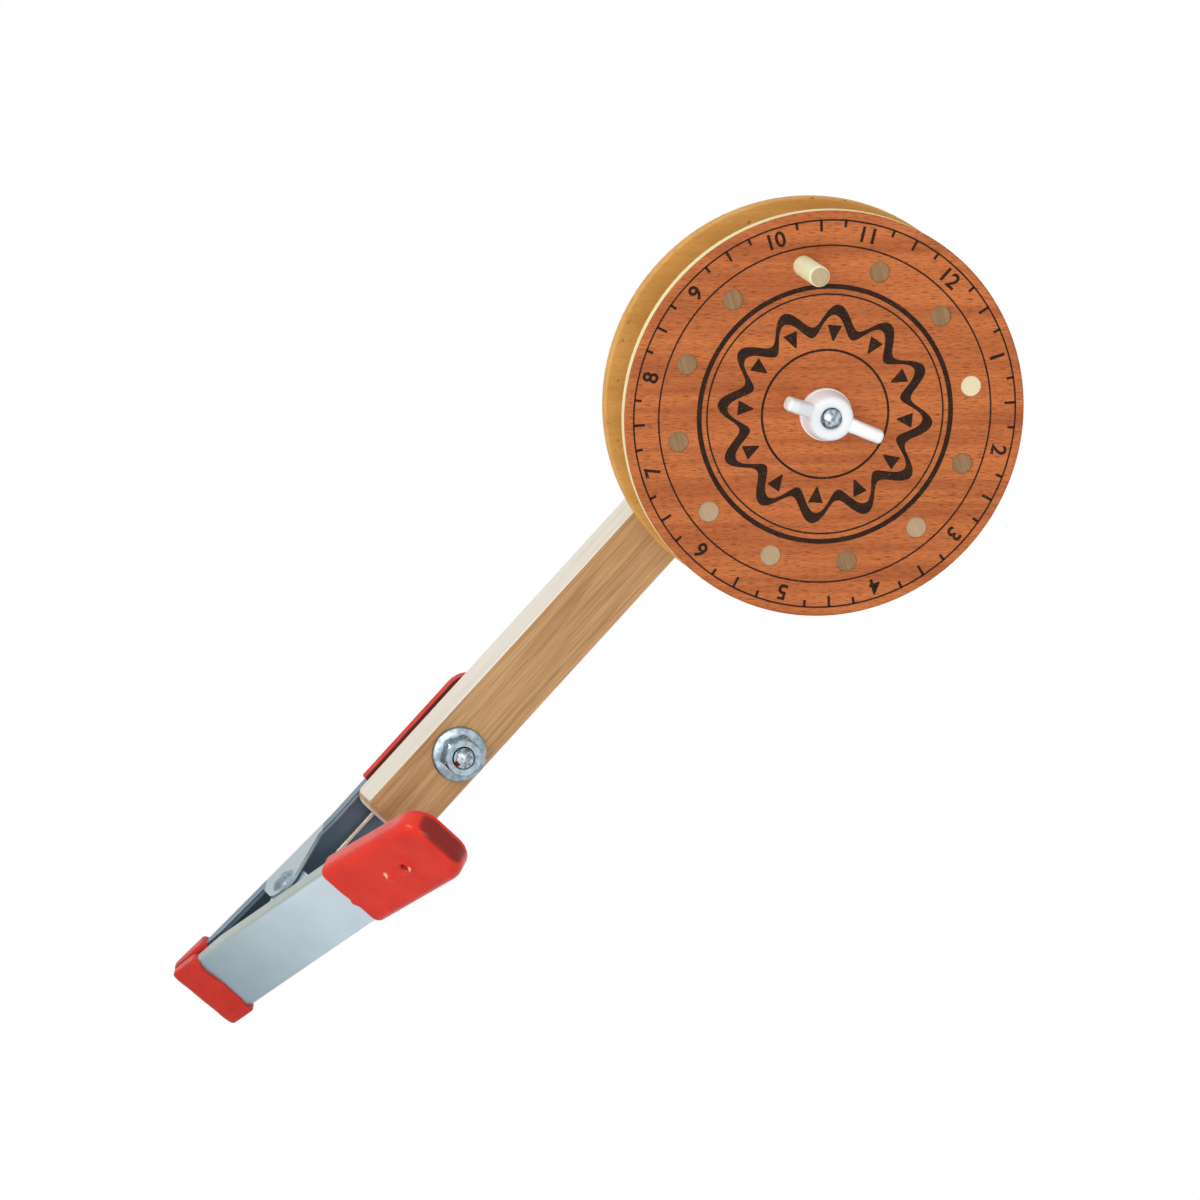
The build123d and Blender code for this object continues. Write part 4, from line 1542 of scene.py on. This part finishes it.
    def dimple_height(self, across: np.ndarray, distance: np.ndarray) -> np.ndarray:
        """Two drip marks, a blister and a burst one: bell curves, the second sunk inside a raised ring.

        Args:
            across: Distance across the handle.
            distance: Distance past the bend.

        Returns:
            Height over the skin.
        """
        oval = 1.2
        blister_across, blister_distance, blister_height, blister_width = -0.00015, 0.0232, 0.0014, 0.0012
        pit_across, pit_distance, pit_depth, pit_width = -0.0002, 0.0306, 0.0013, 0.0011
        ring_radius, ring_height, ring_width = 0.0017, 0.0008, 0.0006
        from_blister = np.hypot((across - blister_across) / oval, distance - blister_distance)
        from_pit = np.hypot((across - pit_across) / oval, distance - pit_distance)
        blister = blister_height * np.exp(-(from_blister / blister_width) ** 2)
        ring = ring_height * np.exp(-((from_pit - ring_radius) / ring_width) ** 2)
        pit = pit_depth * np.exp(-(from_pit / pit_width) ** 2)
        return blister + ring - pit


@dataclass
class VinylJawTip:
    """Dipped vinyl cap on one jaw, flat where it meets the other and rounded elsewhere."""

    clamp: ClampFrame
    finishes: Finishes
    side: Side
    length: float
    skin: float = 0.0012
    skew: float = 0.05
    half_width: float = 0.0125
    gap: float = 0.0001
    flat_length: float = 0.006
    back_off: float = 0.0006
    end_round: float = 0.0016
    start_round: float = 0.001
    start_step: float = 0.0013
    squareness: float = 7.0
    end_draw: float = 0.75
    wave_heights: tuple[float, float] = (0.0004, 0.00025)
    wave_rates: tuple[float, float] = (420.0, 1100.0)
    wave_phase: float = 0.7
    ripple_height: float = 0.00012
    ripple_rates: tuple[float, float] = (700.0, 500.0)
    shut: float = 1e-4
    steps: int = 40
    section_steps: int = 96

    def build(self) -> None:
        """Carry a rounded section along the jaw, drawn in at the end and down to the steel at its start."""
        steel_end = -self.clamp.jaw_reach
        first = steel_end - self.skin * cos(self.clamp.jaw_slope)
        last = steel_end + self.length * cos(self.clamp.jaw_slope)
        ease = (1 - np.cos(np.linspace(0, pi, self.steps))) / 2
        along = first + (last - first) * ease
        steel = self.clamp.web + along * tan(self.clamp.jaw_slope)
        outer = steel + self.skin / cos(self.clamp.jaw_slope)
        past_flat = np.clip((along - first - self.flat_length) / self.flat_length, 0, 1)
        inner = self.gap + past_flat * self.back_off
        end = np.clip(1 - (along - first) / self.end_round, 0, 1)
        draw = self.end_round * (1 - np.sqrt(np.clip(1 - end**2, 0, 1)))
        start = np.clip(1 - (last - along) / self.start_round, 0, 1)
        thin = self.start_step * (1 - np.sqrt(np.clip(1 - start**2, 0, 1)))
        half_up = (outer - inner) / 2 - draw * self.end_draw - thin / 2
        middle = (outer + inner) / 2 - thin / 2
        half_across = self.half_width - draw - thin
        across, up = rounded_section(half_across, half_up, self.squareness, self.section_steps)
        rows = np.concatenate((along[:1], along, along[-1:]))
        across = np.concatenate((across[:1] * self.shut, across, across[-1:] * self.shut))
        rise = np.concatenate((middle[:1], middle, middle[-1:]))[:, None]
        out = rise + np.concatenate((up[:1] * self.shut, up, up[-1:] * self.shut))
        near_start = np.clip((rows - first) / (last - first), 0, 1)[:, None] ** 3
        broad_wave = self.wave_heights[0] * np.sin(across * self.wave_rates[0] + self.wave_phase)
        fine_wave = self.wave_heights[1] * np.sin(across * self.wave_rates[1])
        lengthways = rows[:, None] + (broad_wave + fine_wave) * near_start + self.skew * across
        across_rate, along_rate = self.ripple_rates
        ripple = self.ripple_height * np.sin(across * across_rate + lengthways * along_rate) * (out > rise)
        points = self.clamp.world(self.side, lengthways, out + ripple, across)
        piece = grid_piece(f"{self.side.word}_tip_skin", points, close_columns=True, crease=60)
        vinyl = self.finishes.smooth("tip_vinyl", TIP_VINYL)
        settle(piece, self.side.body, vinyl, "red_vinyl", f"{self.side.word}_jaw_tip")


@dataclass
class Clamp:
    """Pressed steel levers, their vinyl, and the torsion spring between them."""

    finishes: Finishes
    wire: float = 0.0008
    coil_radius: float = 0.004
    coil_turns: int = 4
    coil_from: float = -0.0020
    coil_to: float = 0.0072
    leg_angle: float = radians(42.0)
    rear_leg: float = 0.0145
    front_leg: float = 0.0065
    leg_inset: float = 0.0023
    leg_bend: float = 0.006
    still_wire: float = 0.0009
    leg_steps: int = 24
    bend_steps: int = 10
    coil_steps: int = 420
    wire_steps: int = 20
    places: ClampFrame = field(init=False)

    def __post_init__(self) -> None:
        """Find the clamp's frame."""
        self.places = ClampFrame()

    def leg(self, length: float) -> tuple[np.ndarray, np.ndarray]:
        """One leg of the spring, from its free end along the handle, round a bend and down to the coil.

        Args:
            length: Distance of its free end past the handle's bend.

        Returns:
            Along and out of each point.
        """
        foot_angle = pi / 2 + self.leg_angle
        foot = self.coil_radius * np.array((cos(foot_angle), sin(foot_angle)))
        out_way = np.array((cos(self.leg_angle), sin(self.leg_angle)))
        handle_way = np.array((cos(self.places.slope), sin(self.places.slope)))
        tip = np.array(self.places.handle(np.array(length), np.array(self.leg_inset)))
        base = np.array(self.places.handle(np.array(0.0), np.array(self.leg_inset)))
        gap = base - foot
        leaning = out_way[0] * handle_way[1] - out_way[1] * handle_way[0]
        run = (gap[0] * handle_way[1] - gap[1] * handle_way[0]) / leaning
        corner = foot + out_way * run
        turn = self.leg_angle - self.places.slope
        reach = self.leg_bend * tan(turn / 2)
        share = np.linspace(0, 1, self.leg_steps)[:, None]
        straight = tip + (corner + handle_way * reach - tip) * share
        arc_share = np.linspace(0, 1, self.bend_steps)[1:, None]
        first, last = corner + handle_way * reach, corner - out_way * reach
        arc = (1 - arc_share) ** 2 * first + 2 * arc_share * (1 - arc_share) * corner + arc_share**2 * last
        down = last + (foot - last) * share[1:]
        path = np.concatenate((straight, arc, down))
        return path[:, 0], path[:, 1]

    def spring(self) -> None:
        """Sweep the round wire along leg, coil and leg, with the coil wound between the two levers."""
        rear = self.places.world(Side.REAR, *self.leg(self.rear_leg), np.array(self.coil_from))
        front = self.places.world(Side.FRONT, *self.leg(self.front_leg), np.array(self.coil_to))[::-1]
        start = pi / 2 + self.leg_angle
        sweep = 2 * pi * self.coil_turns + 2 * pi - 2 * start
        share = np.linspace(0, 1, self.coil_steps)
        angle = start + sweep * share
        across = self.coil_from + (self.coil_to - self.coil_from) * share
        along, out = self.coil_radius * np.cos(angle), self.coil_radius * np.sin(angle)
        coil = self.places.world(Side.REAR, along, out, across)
        path = np.concatenate((rear, coil[1:-1], front))
        way = np.gradient(path, axis=0)
        way /= np.linalg.norm(way, axis=1, keepdims=True)
        sideways = np.array((1.0, 0, 0)) - way * way[:, :1]
        sideways /= np.linalg.norm(sideways, axis=1, keepdims=True)
        upwards = np.cross(way, sideways)
        turn = full_turn(self.wire_steps)
        ring = np.cos(turn)[None, :, None] * sideways[:, None, :]
        ring = ring + np.sin(turn)[None, :, None] * upwards[:, None, :]
        tube = path[:, None, :] + ring * self.wire
        caps = np.repeat(path[[0, -1]][:, None, :], turn.size, axis=1)
        tube = np.concatenate((caps[:1], tube, caps[1:]))
        piece = grid_piece("spring_wire", tube, close_columns=True, crease=50)
        paint(piece, self.finishes.smooth("spring_steel", SPRING_STEEL))
        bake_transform(piece)
        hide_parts("torsion_spring")
        log.info("spring_wire bends between the levers")

    def build(self) -> None:
        """Dress the levers and build the vinyl and the spring."""
        for side in Side:
            steel = self.finishes.lever(f"{side.word}_lever_steel", self.places, side)
            dress(f"{side.word}_lever", steel)
        rear_grip = VinylGrip(self.places, self.finishes, Side.REAR, start=0.0155, length=0.0615,
                              slant=-0.04, dimples=False)
        front_grip = VinylGrip(self.places, self.finishes, Side.FRONT, start=0.0034, length=0.0465,
                               slant=0.11, dimples=True)
        rear_tip = VinylJawTip(self.places, self.finishes, Side.REAR, length=0.0125)
        front_tip = VinylJawTip(self.places, self.finishes, Side.FRONT, length=0.0092)
        for vinyl in (rear_grip, front_grip, rear_tip, front_tip):
            vinyl.build()
        self.spring()


@dataclass
class Arm:
    """Light oak bar that carries the spool."""

    finishes: Finishes

    def dress(self) -> None:
        """Dress the arm with grain along its length."""
        low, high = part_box("arm")
        dress("arm", self.finishes.oak("arm_oak", (low + high) / 2, (high - low) / 2))


@dataclass(frozen=True)
class Lamp:
    """Soft square lamp: its direction as right, down and away of the picture, distance, side and watts."""

    name: str
    toward: Direction
    distance: float
    size: float
    power: float


@dataclass
class Studio:
    """Camera at the photograph's angle, soft lamps, and a pale floor that fades into a white surround."""

    right: Direction = (0.70498, -0.22139, 0.67379)
    down: Direction = (0.64936, -0.18056, -0.73874)
    away: Direction = (0.28521, 0.95832, 0.01647)
    distance: float = 4.0
    lens: float = 398.06
    sensor: float = 36.0
    far_end: float = 50.0
    face_right: float = 0.06787
    face_down: float = -0.05607
    floor_drop: float = 0.15
    floor_reach: float = 1.2
    floor_grey: float = 0.9
    floor_roughness: float = 0.9
    floor_whiteness: float = 0.85
    fade_from: float = 0.3
    fade_to: float = 1.1
    soft_light: float = 0.58
    lamps: tuple[Lamp, ...] = (
        Lamp("key_lamp", (-0.75, -0.35, -0.55), distance=1.3, size=0.6, power=9.0),
        Lamp("front_lamp", (0.1, 0.2, -1.0), distance=1.6, size=0.9, power=8.5),
    )

    def target(self) -> Vector:
        """Point at the middle of the picture: the spool's face centre, shifted in the picture plane.

        Returns:
            The point.
        """
        low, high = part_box("front_flange")
        face = Vector(((low.x + high.x) / 2, low.y, (low.z + high.z) / 2))
        return face - Vector(self.right) * self.face_right - Vector(self.down) * self.face_down

    def camera(self) -> None:
        """Place a long-lens camera."""
        data = bpy.data.cameras.new("photo_camera")
        data.lens = self.lens
        data.sensor_width = self.sensor
        data.clip_end = self.far_end
        camera = bpy.data.objects.new("photo_camera", data)
        bpy.context.scene.collection.objects.link(camera)
        right, down, away = Vector(self.right), Vector(self.down), Vector(self.away)
        turn = Matrix((right, -down, -away)).transposed().to_4x4()
        camera.matrix_world = Matrix.Translation(self.target() - away * self.distance) @ turn
        bpy.context.scene.camera = camera

    def place_lamp(self, lamp: Lamp) -> None:
        """Put up one lamp, turned to the middle of the picture.

        Args:
            lamp: The lamp.
        """
        data = bpy.data.lights.new(lamp.name, "AREA")
        data.energy = lamp.power
        data.size = lamp.size
        light = bpy.data.objects.new(lamp.name, data)
        bpy.context.scene.collection.objects.link(light)
        right, down, away = lamp.toward
        way = Vector(self.right) * right + Vector(self.down) * down + Vector(self.away) * away
        way.normalize()
        aim = way.to_track_quat("Z", "Y").to_matrix().to_4x4()
        light.matrix_world = Matrix.Translation(self.target() + way * lamp.distance) @ aim

    def seen(self, graph: Graph) -> Socket:
        """Mask of the rays that look straight, by reflection or through glass.

        Args:
            graph: Graph that the mask is for.

        Returns:
            One for those rays and nothing for light that only spreads.
        """
        path = graph.add("ShaderNodeLightPath")
        straight = graph.math("ADD", path.outputs["Is Camera Ray"], path.outputs["Is Glossy Ray"], clamp=True)
        return graph.math("ADD", straight, path.outputs["Is Transmission Ray"], clamp=True)

    def surround(self) -> None:
        """White surround for the camera and reflections, with a plain level of soft light."""
        world = bpy.data.worlds.new("white_surround")
        bpy.context.scene.world = world
        world.use_nodes = True
        graph = Graph(world.node_tree)
        soft = world.node_tree.nodes["Background"]
        soft.inputs["Color"].default_value = (1, 1, 1, 1)
        soft.inputs["Strength"].default_value = self.soft_light
        white = graph.add("ShaderNodeBackground", {"Color": (1, 1, 1, 1), "Strength": 1.0})
        shares = {0: self.seen(graph), 1: soft.outputs[0], 2: white.outputs[0]}
        mixed = graph.add("ShaderNodeMixShader", shares)
        graph.join(mixed.outputs[0], world.node_tree.nodes["World Output"].inputs["Surface"])

    def floor(self) -> None:
        """Pale floor under the jaws, nearly white to the camera but for the object's shadow."""
        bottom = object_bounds()[0].z - self.floor_drop
        side = np.array((-self.floor_reach, self.floor_reach))
        x, y = np.meshgrid(side, side, indexing="ij")
        points = np.stack((x, y, np.full(x.shape, bottom)), axis=-1)
        piece = grid_piece("studio_floor", points, closed=False)
        material = bpy.data.materials.new("pale_floor")
        material.use_nodes = True
        graph = Graph(material.node_tree)
        shader = material.node_tree.nodes["Principled BSDF"]
        shader.inputs["Base Color"].default_value = (self.floor_grey, self.floor_grey, self.floor_grey, 1)
        shader.inputs["Roughness"].default_value = self.floor_roughness
        glow = graph.add("ShaderNodeEmission", {"Color": (1, 1, 1, 1), "Strength": 1.0})
        place = graph.add("ShaderNodeTexCoord").outputs["Object"]
        away = graph.add("ShaderNodeVectorMath", {0: place}, operation="LENGTH").outputs["Value"]
        fade = graph.ramp(away, self.fade_from, self.fade_to)
        fade = graph.times(fade, 1 - self.floor_whiteness)
        share = graph.times(self.seen(graph), graph.plus(self.floor_whiteness, fade))
        mixed = graph.add("ShaderNodeMixShader", {0: share, 1: shader.outputs[0], 2: glow.outputs[0]})
        graph.join(mixed.outputs[0], material.node_tree.nodes["Material Output"].inputs["Surface"])
        paint(piece, material)
        piece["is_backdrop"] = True

    def build(self) -> None:
        """Set up camera, lamps, floor, surround and view."""
        bpy.context.scene.view_settings.view_transform = "Standard"
        self.camera()
        for lamp in self.lamps:
            self.place_lamp(lamp)
        self.surround()
        self.floor()


def main() -> None:
    """Dress every sub-assembly in turn and set up the studio."""
    logging.basicConfig(level=logging.INFO, format="%(name)s: %(message)s")
    finishes = Finishes()
    Spool(finishes).dress()
    Dial(finishes).build()
    DragNut(finishes).build()
    Hardware(finishes).build()
    Arm(finishes).dress()
    Clamp(finishes).build()
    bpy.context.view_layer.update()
    Studio().build()


if __name__ == "__main__":
    main()
